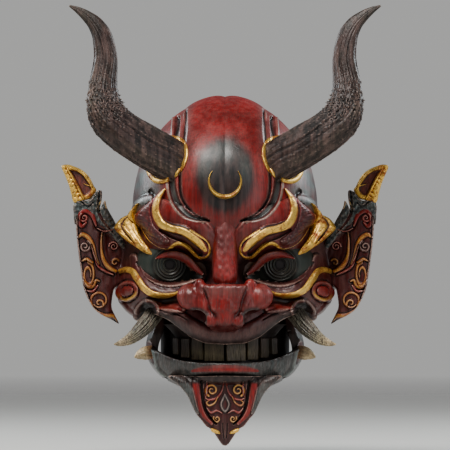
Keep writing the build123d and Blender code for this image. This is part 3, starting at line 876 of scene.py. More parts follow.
def light(name, place, aim, size, power, hue=(1, 1, 1)):
    lamp = bpy.data.lights.new(name, "AREA")
    lamp.size = size
    lamp.energy = power
    lamp.color = hue
    stand = bpy.data.objects.new(name, lamp)
    bpy.context.scene.collection.objects.link(stand)
    stand.location = place
    stand.rotation_euler = (Vector(aim) - Vector(place)).to_track_quat("-Z", "Y").to_euler()


def set_stage(use, sizes):
    """The floor, the plain room round it, the soft lights and the camera."""
    low = cad_box[0][2] / MM - 12
    floor = turned("floor", (0, -60, low - 2), (0, 0, 1), [(0, 2600), (2, 2600)], 96)
    plain = bpy.data.materials.new("pale_floor")
    plain.use_nodes = True
    nodes, links = plain.node_tree.nodes, plain.node_tree.links
    shader = nodes["Principled BSDF"]
    shader.inputs["Base Color"].default_value = (*use.floor, 1)
    shader.inputs["Roughness"].default_value = 0.9
    # the floor fades out into the room before its rim
    place = nodes.new("ShaderNodeTexCoord")
    shrink = nodes.new("ShaderNodeMapping")
    shrink.inputs["Scale"].default_value = (1 / 2.5, 1 / 2.5, 0)
    fade = nodes.new("ShaderNodeTexGradient")
    fade.gradient_type = "SPHERICAL"
    links.new(place.outputs["Object"], shrink.inputs["Vector"])
    links.new(shrink.outputs[0], fade.inputs[0])
    links.new(fade.outputs["Fac"], shader.inputs["Alpha"])
    floor.data.materials.append(plain)
    bpy.ops.mesh.primitive_ico_sphere_add(subdivisions=5, radius=9)
    room = bpy.context.object
    room.name = "room"
    smooth(room)
    pale = bpy.data.materials.new("pale_room")
    pale.use_nodes = True
    shader = pale.node_tree.nodes["Principled BSDF"]
    shader.inputs["Base Color"].default_value = (0, 0, 0, 1)
    shader.inputs["Roughness"].default_value = 1
    shader.inputs["Specular IOR Level"].default_value = 0
    shader.inputs["Emission Color"].default_value = (*use.room, 1)
    shader.inputs["Emission Strength"].default_value = 1
    room.data.materials.append(pale)
    # the room is only looked at: the lights and the sky do the lighting
    room.visible_diffuse = room.visible_glossy = room.visible_transmission = room.visible_shadow = False
    world = bpy.data.worlds.new("studio")
    world.use_nodes = True
    world.node_tree.nodes["Background"].inputs[0].default_value = (0.8, 0.84, 0.9, 1)
    world.node_tree.nodes["Background"].inputs[1].default_value = 0.17
    bpy.context.scene.world = world
    aim = (0, -0.05, 0.02)
    light("key", (-0.35, -0.85, 1.35), aim, 0.6, 22, (1, 0.97, 0.93))
    light("fill", (0.8, -1.1, 0.3), aim, 0.9, 3.5, (0.95, 0.97, 1))
    light("rim_left", (-0.9, 0.55, 0.5), aim, 0.5, 7, (0.9, 0.97, 1))
    light("rim_right", (0.9, 0.55, 0.5), aim, 0.5, 7, (0.9, 0.97, 1))
    # the middle of the view is this far above eye level, and the view is this wide at the face
    middle, view_width, face_at = 33.6 * MM, 360 * MM, -60 * MM
    camera = bpy.data.objects.new("camera", bpy.data.cameras.new("camera"))
    bpy.context.scene.collection.objects.link(camera)
    camera.location = (0, face_at - sizes.camera_distance, middle)
    camera.rotation_euler = (math.radians(90), 0, 0)
    camera.data.sensor_width = 36
    camera.data.lens = 36 * sizes.camera_distance / view_width
    camera.data.clip_end = 20
    bpy.context.scene.camera = camera
    bpy.context.scene.view_settings.view_transform = "AgX"
    bpy.context.scene.view_settings.look = "AgX - Medium High Contrast"


# ---------------------------------------------------------------- brows and wings
GOLD_BAND = [(47.6, 62.4), (52.8, 55.5), (55.2, 47.7), (54.3, 40.8), (50.2, 34.2), (42.4, 30.6),
    (33.7, 28.6), (26.8, 24.2), (20, 18.6), (15.6, 13.6)]
SHADOW_GROOVE = [(52, 29.6), (42.4, 25.4), (33.7, 22.4), (25, 16.6), (19.4, 10.8)]
BROW_OUTLINE = [
    (47.6, 63), (54.5, 57.5), (61, 51), (66, 43.2), (67.4, 36), (65.4, 28), (60.4, 20.6), (52.4, 15.4),
    (44.8, 14.2), (37, 17.5),
    (30.5, 14.6), (23.5, 8), (17.5, 6.2), (12.2, 9.5), (11.4, 15.5), (14.6, 21.6), (22, 27.2), (31, 33.6),
    (42, 35.6), (48.6, 39), (51.2, 46), (50.4, 54),
]
LOBE_HOLLOW = [(57.5, 54), (62, 49), (65.4, 42), (66.4, 35.6), (64.4, 28.6), (59.6, 21.8), (52.4, 17.2),
    (46, 17.4), (44, 21), (50, 26.4), (56, 31.6), (58.6, 38), (59.4, 46)]
LOBE_RIM = [(66.6, 42.4), (67.6, 35), (65.4, 27.2), (60.2, 19.8), (53.4, 15.2), (46, 13.9), (40.6, 15.4)]
CAP_RIM = [(27.6, 29.6), (20.8, 25.4), (13.6, 20.6), (11.6, 14.6), (13.6, 8.8), (18.6, 7.2), (23.2, 9.6),
    (28.4, 14.6)]
UNDER_BAND = [(48.5, 10.6), (43.5, 13.8), (37.6, 17.4), (31.4, 16), (24.4, 10), (19.4, 4.6)]
UPPER_LID = [(55.5, 6.8), (51, 8.6), (45, 10), (37.2, 9.2), (30, 5.6), (23.6, -0.6), (17.6, -6)]
WING_OUTLINE = [
    (65.4, 51), (68.4, 47.4), (73, 43.2), (80, 39.4), (85.4, 34), (87.2, 30.6), (84.4, 26.2), (77.6, 20),
    (69.6, 14.6), (62, 9.8), (56.4, 8),
    (60.4, 14.6), (65.6, 21.4), (69.2, 30), (69.8, 39), (67.6, 45.6),
]
WING_FOLDS = [
    [(68.6, 44), (74.4, 38), (75, 30), (70.6, 21), (62.6, 12.4)],
    [(85.6, 31), (80.4, 31.6), (76, 26.6), (71.6, 19.6)],
    [(83.4, 27.4), (78.4, 23.4), (73.6, 18.6)],
]


def grid_plate(name, outline, top, bottom, place, spacing=0.6, soft=8):
    """A plate cut to a smooth closed outline: an even grid whose rim points are drawn onto the outline.

    top and bottom give each face's height over the ground of place, from x, z and the depth inside.
    """
    line = smooth_line(outline, soft, closed=True)
    low, high = line.min(0) - spacing, line.max(0) + spacing
    nx, nz = (np.ceil((high - low) / spacing)).astype(int) + 1
    gx, gz = np.meshgrid(low[0] + np.arange(nx) * spacing, low[1] + np.arange(nz) * spacing)
    loop = np.vstack([line, line[0]])
    hit = np.zeros(gx.shape, bool)
    for (ax, az), (bx, bz) in zip(loop[:-1], loop[1:]):
        if az != bz:
            hit ^= ((az > gz) != (bz > gz)) & (gx < (bx - ax) * (gz - az) / (bz - az) + ax)
    # cells with a corner inside belong to the plate, and their outer corners slide onto the outline
    cell = hit[:-1, :-1] | hit[1:, :-1] | hit[:-1, 1:] | hit[1:, 1:]
    used = np.zeros(gx.shape, bool)
    for dz in (0, 1):
        for dx in (0, 1):
            used[dz : dz + cell.shape[0], dx : dx + cell.shape[1]] |= cell
    number = -np.ones(gx.shape, int)
    number[used] = np.arange(used.sum())
    x, z, within = gx[used], gz[used], hit[used]
    gap, foot_x, foot_z = foot_on(x, z, loop)
    slide = ~within | (gap < 0.3 * spacing)
    x[slide], z[slide] = foot_x[slide], foot_z[slide]
    deep = np.where(slide, 0, gap)
    rows, cols = np.nonzero(cell)
    a, b = number[rows, cols], number[rows, cols + 1]
    c, d = number[rows + 1, cols + 1], number[rows + 1, cols]
    count = len(x)
    faces = np.stack([a, b, c, d], axis=1).tolist()
    faces += (np.stack([a, d, c, b], axis=1) + count).tolist()
    # the wall between the two faces follows the cells' open sides
    for dr, dc, first, second in ((-1, 0, a, b), (0, 1, b, c), (1, 0, c, d), (0, -1, d, a)):
        rr, cc = rows + dr, cols + dc
        outside = (rr < 0) | (cc < 0) | (rr >= cell.shape[0]) | (cc >= cell.shape[1])
        open_side = outside | ~cell[np.clip(rr, 0, cell.shape[0] - 1), np.clip(cc, 0, cell.shape[1] - 1)]
        for p, q in zip(first[open_side], second[open_side]):
            faces.append((int(q), int(p), int(p) + count, int(q) + count))
    points = np.concatenate([place(x, z, top(x, z, deep)), place(x, z, bottom(x, z, deep))])
    return new_piece(name, points, faces), np.concatenate([x, x]), np.concatenate([z, z]), np.concatenate(
        [deep, 0 * deep])


def foot_on(x, z, loop):
    """The distance to a closed line and the nearest point on it."""
    best = np.full(x.shape, 1e6)
    foot_x, foot_z = x.copy(), z.copy()
    for (ax, az), (bx, bz) in zip(loop[:-1], loop[1:]):
        vx, vz = bx - ax, bz - az
        t = np.clip(((x - ax) * vx + (z - az) * vz) / (vx * vx + vz * vz + 1e-12), 0, 1)
        px, pz = ax + t * vx, az + t * vz
        gap = np.hypot(x - px, z - pz)
        nearer = gap < best
        best[nearer] = gap[nearer]
        foot_x[nearer], foot_z[nearer] = px[nearer], pz[nearer]
    return best, foot_x, foot_z


class Paint:
    """Colours laid one over another on a piece's points."""

    def __init__(self, count, base):
        self.tint = np.empty((count, 3))
        self.tint[:] = base
        self.gilt = np.zeros(count)

    def lay(self, amount, value):
        a = np.clip(amount, 0, 1)[:, None]
        self.tint = self.tint * (1 - a) + np.array(value) * a
        self.gilt = self.gilt * (1 - a[:, 0])

    def gild(self, amount):
        self.gilt = np.maximum(self.gilt, np.clip(amount, 0, 1))


def brow_ground(x, z):
    """The face under the brows, without the sharp work that they cover."""
    x = np.abs(x)
    return 6.5 * dome(stroke(x, z, BROW_MASS, [10, 15, 17, 14])) - 13 * blob(x, z, (41, -2), (37, 23), 8)


def brow_top(x, z, deep):
    rise = face_relief(x, z)
    rise = np.maximum(rise, brow_ground(x, z)) + 0.6
    rise += 2.6 * dome(np.clip(deep / 3.2, 0, 1))
    lobe = inside(x, z, LOBE_HOLLOW)
    rise += 3.0 * dome(np.clip(lobe / 6, 0, 1)) + 0.35 * wobble(x, z, 3.2, 31) * np.clip(lobe / 2, 0, 1)
    rise += 3.2 * dome(stroke(x, z, GOLD_BAND, [0.8, 2.4, 3.2, 3.7, 3.9, 3.5, 3.4, 3.6, 3.9, 3.2]))
    rise -= 4.0 * dome(stroke(x, z, SHADOW_GROOVE, [1.0, 2.6, 3.0, 3.2, 2.2]))
    rise += 1.5 * dome(stroke(x, z, CAP_RIM, [0.8, 1.3, 1.5, 1.6, 1.5, 1.3, 0.6]))
    rise += 1.6 * dome(stroke(x, z, LOBE_RIM, [0.6, 1.2, 1.3, 1.3, 1.0, 0.6]))
    rise += 2.2 * dome(stroke(x, z, UNDER_BAND, [1.0, 2.6, 3.2, 3.0, 2.2, 1.0]))
    return rise + 0.12 * wobble(x, z, 5, 8)


def make_brow(use):
    piece, x, z, deep = grid_plate(
        "brow", BROW_OUTLINE, brow_top, lambda x, z, deep: brow_ground(x, z) - 6.0, face_form.place,
        spacing=0.42
    )
    paint = Paint(len(x), use.red)
    paint.lay(ease(40, 30, z) * 0.6, use.deep_red)
    lobe = inside(x, z, LOBE_HOLLOW)
    paint.lay(np.clip(lobe / 1.2, 0, 1), use.plum)
    paint.lay(0.5 * np.clip(lobe / 2, 0, 1) * ease(-0.1, 0.7, wobble(x, z, 4.2, 33)), (0.10, 0.045, 0.05))
    paint.lay(0.35 * np.clip(lobe / 2, 0, 1) * ease(0.1, 0.7, wobble(x, z, 3.4, 35)), use.red)
    paint.lay(1.8 * stroke(x, z, SHADOW_GROOVE, [1.4, 3.2, 3.6, 3.8, 2.8]), (0.018, 0.008, 0.012))
    # painted shade: a black line in the crease along the top of the gold band
    paint.lay(0.9 * np.clip(1.7 * stroke(x, z, [(p - 0.6, q + 3.6) for p, q in GOLD_BAND[3:8]],
        [0.6, 1.4, 1.6, 1.0]), 0, 1), use.soot)
    paint.gild(4 * stroke(x, z, GOLD_BAND, [0.7, 2.1, 3.0, 3.4, 3.5, 3.1, 3.1, 3.2, 3.2, 1.6]))
    paint.gild(3 * stroke(x, z, CAP_RIM, [0.6, 1.0, 1.2, 1.3, 1.2, 1.0, 0.5]))
    paint.gild(3 * stroke(x, z, LOBE_RIM, [0.5, 0.9, 1.0, 1.0, 0.8, 0.5]))
    paint.gild(3.5 * stroke(x, z, UNDER_BAND, [0.8, 2.6, 3.2, 3.0, 2.2, 1.0]))
    return painted(piece, paint, 70)


def make_wing(use):
    def top(x, z, deep):
        rise = brow_ground(x, z) + 2.0 + 3.4 * dome(np.clip(deep / 4.5, 0, 1))
        rise += 2.4 * ease(70, 84, x)
        for fold, halves in zip(WING_FOLDS,
            ([1.4, 2.8, 3.2, 2.6, 1.2], [0.8, 2.0, 2.2, 0.8], [0.6, 1.5, 0.8])):
            rise += 1.2 * dome(stroke(x, z, fold, halves))
        rise -= 1.3 * stroke(x, z, [(72, 42.5), (78.6, 36), (80.4, 31), (75, 21)], [0.6, 1.5, 1.5, 0.6])
        return rise + 0.15 * wobble(x, z, 5, 12)

    piece, x, z, deep = grid_plate(
        "wing", WING_OUTLINE, top, lambda x, z, deep: brow_ground(x, z) - 5.0 - 1.5 * ease(74, 86, x),
        wing_place, spacing=0.42
    )
    paint = Paint(len(x), use.rust)
    paint.gild(np.ones(len(x)))
    # painted shade: the carved groove across the wing is painted dark
    paint.lay(1.3 * stroke(x, z, [(72, 42.5), (78.6, 35), (79.4, 30), (74, 21)], [0.8, 1.7, 1.7, 0.8]),
        (0.12, 0.05, 0.03))
    return painted(piece, paint, 70)


def wing_place(x, z, rise):
    """The wing follows the temple and then stands out beside it, so that it never wraps round to the back."""
    reach = np.minimum(x, 66)
    spot = face_form.place(reach, z, np.asarray(rise))
    spot[..., 0] += x - reach
    spot[..., 1] += 0.62 * (x - reach) - 0.3
    return spot


# ---------------------------------------------------------------- bands and lids on the cheeks
CHEEK_BAND = [(88.4, -8.5), (85.6, -4.4), (80, -2.2), (74.4, -3.6), (70, -9.6), (65, -16.6), (57.6, -21.4),
    (48.4, -23), (40.4, -21.4), (33.4, -17)]


def make_cheek_band(use):
    piece, share, off = strap(
        "cheek_band", CHEEK_BAND, [0.8, 1.9, 2.6, 2.9, 2.9, 2.7, 2.5, 2.1, 1.3, 0.3],
        [1.0, 2.4, 3.0, 3.2, 3.0, 2.8, 2.4, 2.0, 1.4, 0.4], face_relief, sink=3
    )
    count = len(share)
    paint = Paint(count, use.rust)
    paint.gild(np.ones(count))
    return painted(piece, paint)


def make_upper_lid(use):
    """The thick red fold over the eye, with a worn edge."""
    piece, share, off = strap(
        "upper_lid", UPPER_LID, [0.7, 2.2, 3.2, 3.6, 3.2, 2.6, 1.2], [1.6, 3.4, 4.6, 5.0, 4.6, 3.4, 1.4],
        lid_ground, sink=7, spacing=0.5, across=16
    )
    paint = Paint(len(share), use.red)
    paint.lay(0.5 * ease(0.3, -0.6, off), use.deep_red)
    paint.lay(0.55 * ease(0.75, 0.98, np.abs(off)) * ease(0, 1, off + 0.5), use.ash)
    return painted(piece, paint)


def lid_ground(x, z):
    return brow_ground(x, z) + 5.0 * ease(30, 52, x) * ease(12, 3, z) + 3.5


# ---------------------------------------------------------------- the nose


def bead(p, centre, radii):
    """Roughly how far each point of a grid is outside an ellipsoid."""
    q = [(p[i] - centre[i]) / radii[i] for i in range(3)]
    near_edge = np.sqrt(q[0] ** 2 + q[1] ** 2 + q[2] ** 2)
    slope = np.sqrt(sum((q[i] / radii[i]) ** 2 for i in range(3))) + 1e-6
    return near_edge * (near_edge - 1) / slope


def link(p, start, end, r_start, r_end):
    """How far each point is outside a rounded rod that tapers from start to end."""
    a, b = np.array(start, float), np.array(end, float)
    v = b - a
    t = np.clip(sum((p[i] - a[i]) * v[i] for i in range(3)) / v.dot(v), 0, 1)
    gap = np.sqrt(sum((p[i] - a[i] - t * v[i]) ** 2 for i in range(3)))
    return gap - (r_start + (r_end - r_start) * t)


def melt(one, other, soft):
    """Joins two shapes with a soft fillet."""
    h = np.clip(0.5 + 0.5 * (other - one) / soft, 0, 1)
    return other + (one - other) * h - soft * h * (1 - h)


def bite(one, other, soft):
    """Takes the other shape out of the first, with a soft edge."""
    return -melt(-one, other, soft)


def skin_field(name, field, low, step):
    """A closed mesh of even quads around the cells where the field is negative."""
    within = field < 0
    n = [s - 1 for s in field.shape]
    total = np.zeros(n, np.int16)
    for dx in (0, 1):
        for dy in (0, 1):
            for dz in (0, 1):
                total += within[dx : dx + n[0], dy : dy + n[1], dz : dz + n[2]]
    active = (total > 0) & (total < 8)
    cells = np.argwhere(active)
    number = -np.ones(n, np.int64)
    number[active] = np.arange(len(cells))
    spot, hits = np.zeros((len(cells), 3)), np.zeros(len(cells))
    i, j, k = cells.T
    for axis in range(3):
        others = [o for o in range(3) if o != axis]
        for d1 in (0, 1):
            for d2 in (0, 1):
                corner = [i.copy(), j.copy(), k.copy()]
                corner[others[0]] += d1
                corner[others[1]] += d2
                far = [c.copy() for c in corner]
                far[axis] += 1
                one, two = field[tuple(corner)], field[tuple(far)]
                crossed = (one < 0) != (two < 0)
                t = np.where(crossed, one / np.where(crossed, one - two, 1), 0)
                at = np.stack(corner, axis=1).astype(float)
                at[:, axis] += t
                spot[crossed] += at[crossed]
                hits[crossed] += 1
    points = np.array(low) + spot / hits[:, None] * step
    faces = []
    for axis in range(3):
        o1, o2 = (axis + 1) % 3, (axis + 2) % 3
        shape = list(field.shape)
        shape[axis] -= 1
        here = [slice(None)] * 3
        there = [slice(None)] * 3
        here[axis], there[axis] = slice(0, -1), slice(1, None)
        a, b = within[tuple(here)], within[tuple(there)]
        at = np.argwhere(a != b)
        keep = (at[:, o1] > 0) & (at[:, o2] > 0) & (at[:, o1] < n[o1]) & (at[:, o2] < n[o2]) & (
            at[:, axis] < n[axis])
        at = at[keep]
        quad = []
        for s1, s2 in ((1, 1), (0, 1), (0, 0), (1, 0)):
            c = at.copy()
            c[:, o1] -= s1
            c[:, o2] -= s2
            quad.append(number[tuple(c.T)])
        quad = np.stack(quad, axis=1)
        flip = ~a[tuple(at.T)]
        quad[flip] = quad[flip][:, ::-1]
        faces += quad[(quad >= 0).all(axis=1)].tolist()
    return new_piece(name, points, faces)


NOSTRIL = (22.5, -37.5)
PANEL = [(-19.5, -13.8), (19.5, -13.8), (16.8, -22), (12.6, -30.5), (10.6, -35.6), (-10.6, -35.6),
    (-12.6, -30.5), (-16.8, -22)]


def make_nose(use):
    """The broad nose: a ridge, a flat panel on its tip and two rolled wings, with open nostrils."""
    step = 0.62
    low = np.array([-43.0, -126.0, -54.0])
    size = (np.array([43.0, -66.0, 40.0]) - low) / step
    axes = [low[i] + np.arange(int(size[i])) * step for i in range(3)]
    p = np.meshgrid(*axes, indexing="ij")
    p[0] = np.abs(p[0])
    field = link(p, (0, -82, 44), (0, -96, -6), 10.6, 10.4)
    field = -melt(-field, p[1] + 91.2 + 0.29 * (42 - p[2]), 2.0)
    narrow = 1 + 0.66 * np.clip((-13.6 - p[2]) / 21.5, 0, 1)
    q = [p[0] * narrow - 14.0, np.abs(p[1] + 99.5) - 9.2, np.abs(p[2] + 24.6) - 7.2]
    outside = np.sqrt(sum(np.maximum(one, 0) ** 2 for one in q))
    tip = outside + np.minimum(np.maximum(np.maximum(q[0], q[1]), q[2]), 0) - 4.0
    tip = melt(tip, link(p, (0, -103.4, -30), (0, -103.4, -39.5), 9.6, 8.6), 3)
    field = melt(field, tip, 1.2)
    wing = melt(bead(p, (27.6, -91, -23.2), (10.6, 14.0, 10.4)),
        link(p, (26, -95, -24), (10.5, -104, -42.5), 7.6, 5.4), 4)
    wing = melt(wing, link(p, (20, -98, -13.5), (15.5, -103, -30), 4.4, 4.6), 3)
    field = melt(field, wing, 2.2)
    field = melt(field, link(p, (0, -92, -46), (7, -96, -45.5), 6.5, 5.5), 5)
    # the crease over the flat panel and the grooves down its sides
    crease = link(p, (0, -112, -12.4), (17, -109, -12.8), 1.4, 1.2)
    field = bite(field, crease, 0.8)
    groove = np.minimum(link(p, (19.8, -108, -14), (16.6, -112, -24), 1.2, 1.4),
        link(p, (16.6, -112, -24), (11.6, -113.5, -35.5), 1.4, 1.0))
    field = bite(field, groove, 0.9)
    side = link(p, (11.2, -98, 26), (12.6, -98, -9), 2.4, 2.6)
    field = bite(field, side, 2.0)
    nostril = melt(bead(p, (NOSTRIL[0], -100, NOSTRIL[1] - 2.5), (8.6, 15, 6.2)),
        link(p, (20, -92, -38), (15, -78, -32), 5.5, 5.0), 2)
    field = bite(field, nostril, 1.6)
    behind = face_form.y(np.minimum(p[0], 60), p[2]) + 3.5
    field = np.maximum(field, p[1] - behind)
    piece = skin_field("nose_carving", field, low, step)
    tidy_mesh(piece)
    select_only(piece)
    apply_modifier(piece, "SMOOTH", factor=0.5, iterations=4)
    co, no = points_of(piece), normals_of(piece)
    x, z = co[:, 0], co[:, 2]
    panel = inside(x, z, PANEL) * (co[:, 1] < -100)
    dimples = wobble(x, z, 3.2, 51) * np.clip(panel / 2, 0, 1) * ease(-14, -22, z)
    co += no * (0.06 * dimples + 0.12 * wobble(x, z, 7, 52) + 0.1 * wobble(x * 3, z * 0.4, 4, 53))[:, None]
    move_points(piece, co)
    paint = Paint(len(x), use.red)
    paint.lay(0.55 * ease(-2, 22, z), use.deep_red)
    paint.lay(0.5 * np.clip(panel / 3, 0, 1) * ease(-28, -18, z), use.ash)
    paint.lay(0.3 * np.clip(panel / 2, 0, 1) * ease(0.2, 0.8, wobble(x, z, 3.2, 51)), use.ash)
    paint.lay(0.45 * blob(np.abs(x), z, (31, -18), (8, 12)), use.ash)
    # painted shade: the nostrils, the undersides and the grooves beside the ridge are painted dark
    deep = np.hypot((np.abs(x) - NOSTRIL[0]) / 11.5, (z - NOSTRIL[1] + 2.0) / 8.5)
    paint.lay(0.96 * ease(1.1, 0.75, deep) * (co[:, 1] > -108), use.soot)
    paint.lay(0.85 * ease(0.35, 0.8, -no[:, 2]) * ease(-30, -40, z), use.deep_red)
    paint.lay(0.92 * ease(9.0, 10.6, np.abs(x)) * ease(-12, -9, z) * ease(17, 14, np.abs(x))
        * ease(-103, -97, co[:, 1]), use.soot)
    return painted(piece, paint, 80, clean=False, passes=3, reach=0.3)


# ---------------------------------------------------------------- eyes


def make_eye(use):
    """A dark metal dome with fine turned rings round the pupil."""
    centre = np.array([44.0, -44.5, 2.0])
    radius, hole = 29.6, 3.6
    radii = np.concatenate([np.linspace(hole, 14, 64), np.linspace(14.4, 28.4, 44)])
    around = 128
    turn = np.linspace(0, 2 * math.pi, around, endpoint=False)
    rise = 0.35 * np.sin(radii * 2.6) * ease(14.5, 12,
        radii) + 0.5 * np.exp(-((radii - 8.4) ** 2) / 0.5) - 0.7 * ease(5.4, 4.4, radii)
    rise += 0.6 * np.exp(-((radii - 13.2) ** 2) / 0.8)
    outer = []
    for r, h in zip(radii, rise):
        outer.append(np.stack([r * np.cos(turn), 0 * turn - np.sqrt(radius**2 - r * r) - h,
            r * np.sin(turn)], axis=1))
    inner_radii = np.linspace(28.4, hole, 12)
    for r in inner_radii:
        outer.append(np.stack([r * np.cos(turn),
            0 * turn - np.sqrt((radius - 2) ** 2 - min(r, radius - 2.01) ** 2), r * np.sin(turn)], axis=1))
    rings = len(outer)
    points = np.concatenate(outer) + centre
    faces = ring_faces(rings, around)
    last = (rings - 1) * around
    faces += [(last + i, last + (i + 1) % around, (i + 1) % around, i) for i in range(around)]
    # the smoked pane that closes the hole from behind, whose black is painted shade in the pupil
    faces.append(tuple(range(last, last + around))[::-1])
    piece = new_piece("eye", points, faces)
    reach = np.repeat(np.concatenate([radii, inner_radii]), around)
    # the dome is dark metal, painted near black as painted shade under the brow
    paint = Paint(len(points), (0.016, 0.021, 0.018))
    paint.lay(0.8 * ease(14.0, 16.0, reach), (0.045, 0.06, 0.05))
    paint.lay(0.75 * np.clip(np.sin(reach * 2.6), 0, 1) * ease(14.5, 12, reach), (0.05, 0.055, 0.035))
    # painted shade: the pupil is painted black
    paint.lay(ease(4.4, 3.9, reach), (0.002, 0.002, 0.002))
    put_paint(piece, paint.tint, paint.gilt)
    tidy_mesh(piece)
    smooth(piece, 60)
    return piece


# ---------------------------------------------------------------- horns and tusks


def limb(name, stations, around, spacing, shape, start_cap=True):
    """A tapering limb through (x, y, z, radius) stations: shape gives how far it stands off round."""
    line = smooth_line(stations, 16)
    run = np.concatenate([[0], np.cumsum(np.linalg.norm(np.diff(line[:, :3], axis=0), axis=1))])
    count = int(run[-1] / spacing)
    at = np.linspace(0, run[-1], count)
    data = np.stack([np.interp(at, run, line[:, i]) for i in range(4)], axis=1)
    centre, radius = data[:, :3], np.maximum(data[:, 3], 0.15)
    ahead = np.gradient(centre, axis=0)
    ahead /= np.linalg.norm(ahead, axis=1, keepdims=True)
    forward = np.zeros_like(ahead)
    forward[:] = (0, -1, 0)
    forward -= ahead * np.einsum("ij,ij->i", forward, ahead)[:, None]
    forward /= np.linalg.norm(forward, axis=1, keepdims=True)
    aside = np.cross(ahead, forward)
    turn = np.linspace(0, 2 * math.pi, around, endpoint=False)
    share = (at / run[-1])[:, None]
    reach = radius[:, None] + shape(share + 0 * turn, turn + 0 * share, radius[:, None] + 0 * turn)
    points = centre[:, None, :] + reach[..., None] * (
        np.cos(turn)[None, :, None] * forward[:, None, :] + np.sin(turn)[None, :, None] * aside[:, None, :]
    )
    faces = ring_faces(count, around)
    faces.append(tuple(range(around))[::-1])
    faces.append(tuple(range((count - 1) * around, count * around)))
    piece = new_piece(name, points.reshape(-1, 3), faces)
    return piece, np.repeat(share, around), np.tile(turn, count), (reach - radius[:, None]).ravel()


HORN_STATIONS = [
    (36.6, -62.9, 80.2, 18.0), (50.1, -66.2, 88.2, 18.0), (63.5, -69.6, 96.2, 17.8),
    (80.5, -73.5, 106.6, 17.0),
    (91.5, -74.2, 116.5, 16.4), (96.6, -73.0, 127.0, 14.8), (98.0, -70.0, 140.0, 12.3),
    (97.2, -66.5, 152.0, 10.9),
    (96.0, -63.0, 168.0, 9.8), (98.6, -60.9, 184.0, 8.2), (103.6, -60.0, 193.6, 6.6),
    (110.0, -60.0, 200.0, 4.9),
    (117.0, -60.8, 205.0, 3.0), (124.5, -62.0, 209.0, 0.7),
]


def horn_shape(share, turn, radius):
    """Long furrows that wander along the horn, a pitted elbow and a hard outer corner."""
    drift = 0.9 * np.sin(share * 7) + 0.5 * np.sin(share * 19 + 1)
    fine = np.zeros(share.shape)
    rng = np.random.default_rng(17)
    for count in (5, 9, 14, 19, 26, 35):
        phase, rate = rng.uniform(0, 6.28), rng.uniform(6, 16)
        fine += np.sin(count * turn + phase + drift * count * 0.22
            + np.sin(share * rate)) * (1.15 / count**0.45)
    fine = np.where(fine < 0, fine * 1.35, fine * 0.7)
    elbow = np.exp(-(((share - 0.46) / 0.1) ** 2))
    pits = wobble(turn * 17, share * 190, 3.4, 61) * wobble(turn * 17, share * 190, 6.5, 62)
    corner = 4.2 * np.exp(-(((share - 0.415) / 0.035) ** 2)) * np.exp(
        -(((np.mod(turn - 4.85, 6.283))) ** 2) / 0.35)
    plane = -0.09 * radius * np.cos(3 * turn + 0.8) + 0.07 * radius * np.cos(2 * turn)
    return (fine * 0.55 * (1 - 0.6 * elbow) + 1.05 * pits * (0.25 + elbow)) * np.clip(radius / 14, 0.18,
        1) + plane


def make_horn(use):
    piece, share, turn, off = limb("horn", HORN_STATIONS, 176, 0.8, horn_shape)
    # the furrows are painted darker and the ridges paler by how far they stand out: painted shade in the
    # furrows, painted highlight on the ridges, over the horn's own colour
    paint = Paint(len(share), use.horn_dark)
    paint.lay(0.7 * ease(-0.4, 1.7, off - np.median(off)), srgb(58, 47, 39))
    paint.lay(0.55 * ease(0.3, 0.75, np.abs(wobble(turn * 10, share * 60, 16, 64))), srgb(58, 44, 34))
    paint.lay(0.36 * ease(0.7, 2.2, off - np.median(off)) * (0.5 + 0.5 * ease(0.38, 0.5, share)),
        use.horn_pale)
    paint.lay(0.25 * ease(0.78, 1.0, share), use.horn_pale)
    return painted(piece, paint, 70, passes=1, reach=0.3)


TUSK_STATIONS = [
    (50.0, -46.0, -29.0, 6.4), (54.5, -52.5, -34.5, 6.8), (58.5, -58.0, -40.0, 6.9),
    (63.6, -63.6, -46.4, 6.5),
    (69.0, -69.0, -52.0, 5.6), (74.0, -72.4, -56.2, 4.6), (79.0, -75.0, -59.0, 3.5),
    (84.0, -77.2, -60.8, 2.1),
    (88.2, -79.0, -61.5, 0.6),
]


def tusk_shape(share, turn, radius):
    lines = np.sin(19 * turn + 2.4 * np.sin(share * 9)) + 0.8 * np.sin(31 * turn + 3
        * np.sin(share * 6 + 2)) + 0.6 * np.sin(11 * turn + share * 8)
    return lines * 0.26 * np.clip(radius / 6, 0.2, 1) + 0.1 * wobble(turn * 7, share * 60, 4, 71)


def make_tusk(use):
    piece, share, turn, off = limb("tusk", TUSK_STATIONS, 120, 0.6, tusk_shape)
    paint = Paint(len(share), srgb(128, 128, 112))
    # painted shade: the furrows are darkened by their depth
    paint.lay(0.8 * ease(0.1, -0.5, off), use.horn_dark)
    paint.lay(0.7 * ease(0.62, 0.95, share), use.bone)
    paint.lay(0.5 * ease(0.25, 0.05, share), use.horn_dark)
    return painted(piece, paint, 70, passes=1, reach=0.4)


def make_spike(use):
    stations = [(58.0, -38.0, -68.0, 5.2), (64.5, -40.0, -69.5, 5.3), (68.0, -41.6, -70.6, 4.0),
        (70.6, -43.0, -71.7, 2.4), (72.6, -44.0, -72.6, 0.6)]

    def shape(share, turn, radius):
        return 0.16 * np.sin(9 * turn + 3 * share) * np.clip(radius / 5, 0.1, 1) + 0.14 * wobble(turn * 5,
            share * 16, 3, 75)

    piece, share, turn, off = limb("spike", stations, 80, 0.5, shape)
    paint = Paint(len(share), use.bone)
    paint.lay(0.55 * ease(0.5, 0.15, share), use.rust)
    paint.lay(0.4 * ease(0.2, 0.7, wobble(turn * 5, share * 16, 5, 76)), srgb(150, 120, 80))
    return painted(piece, paint, 70, passes=1, reach=0.5)


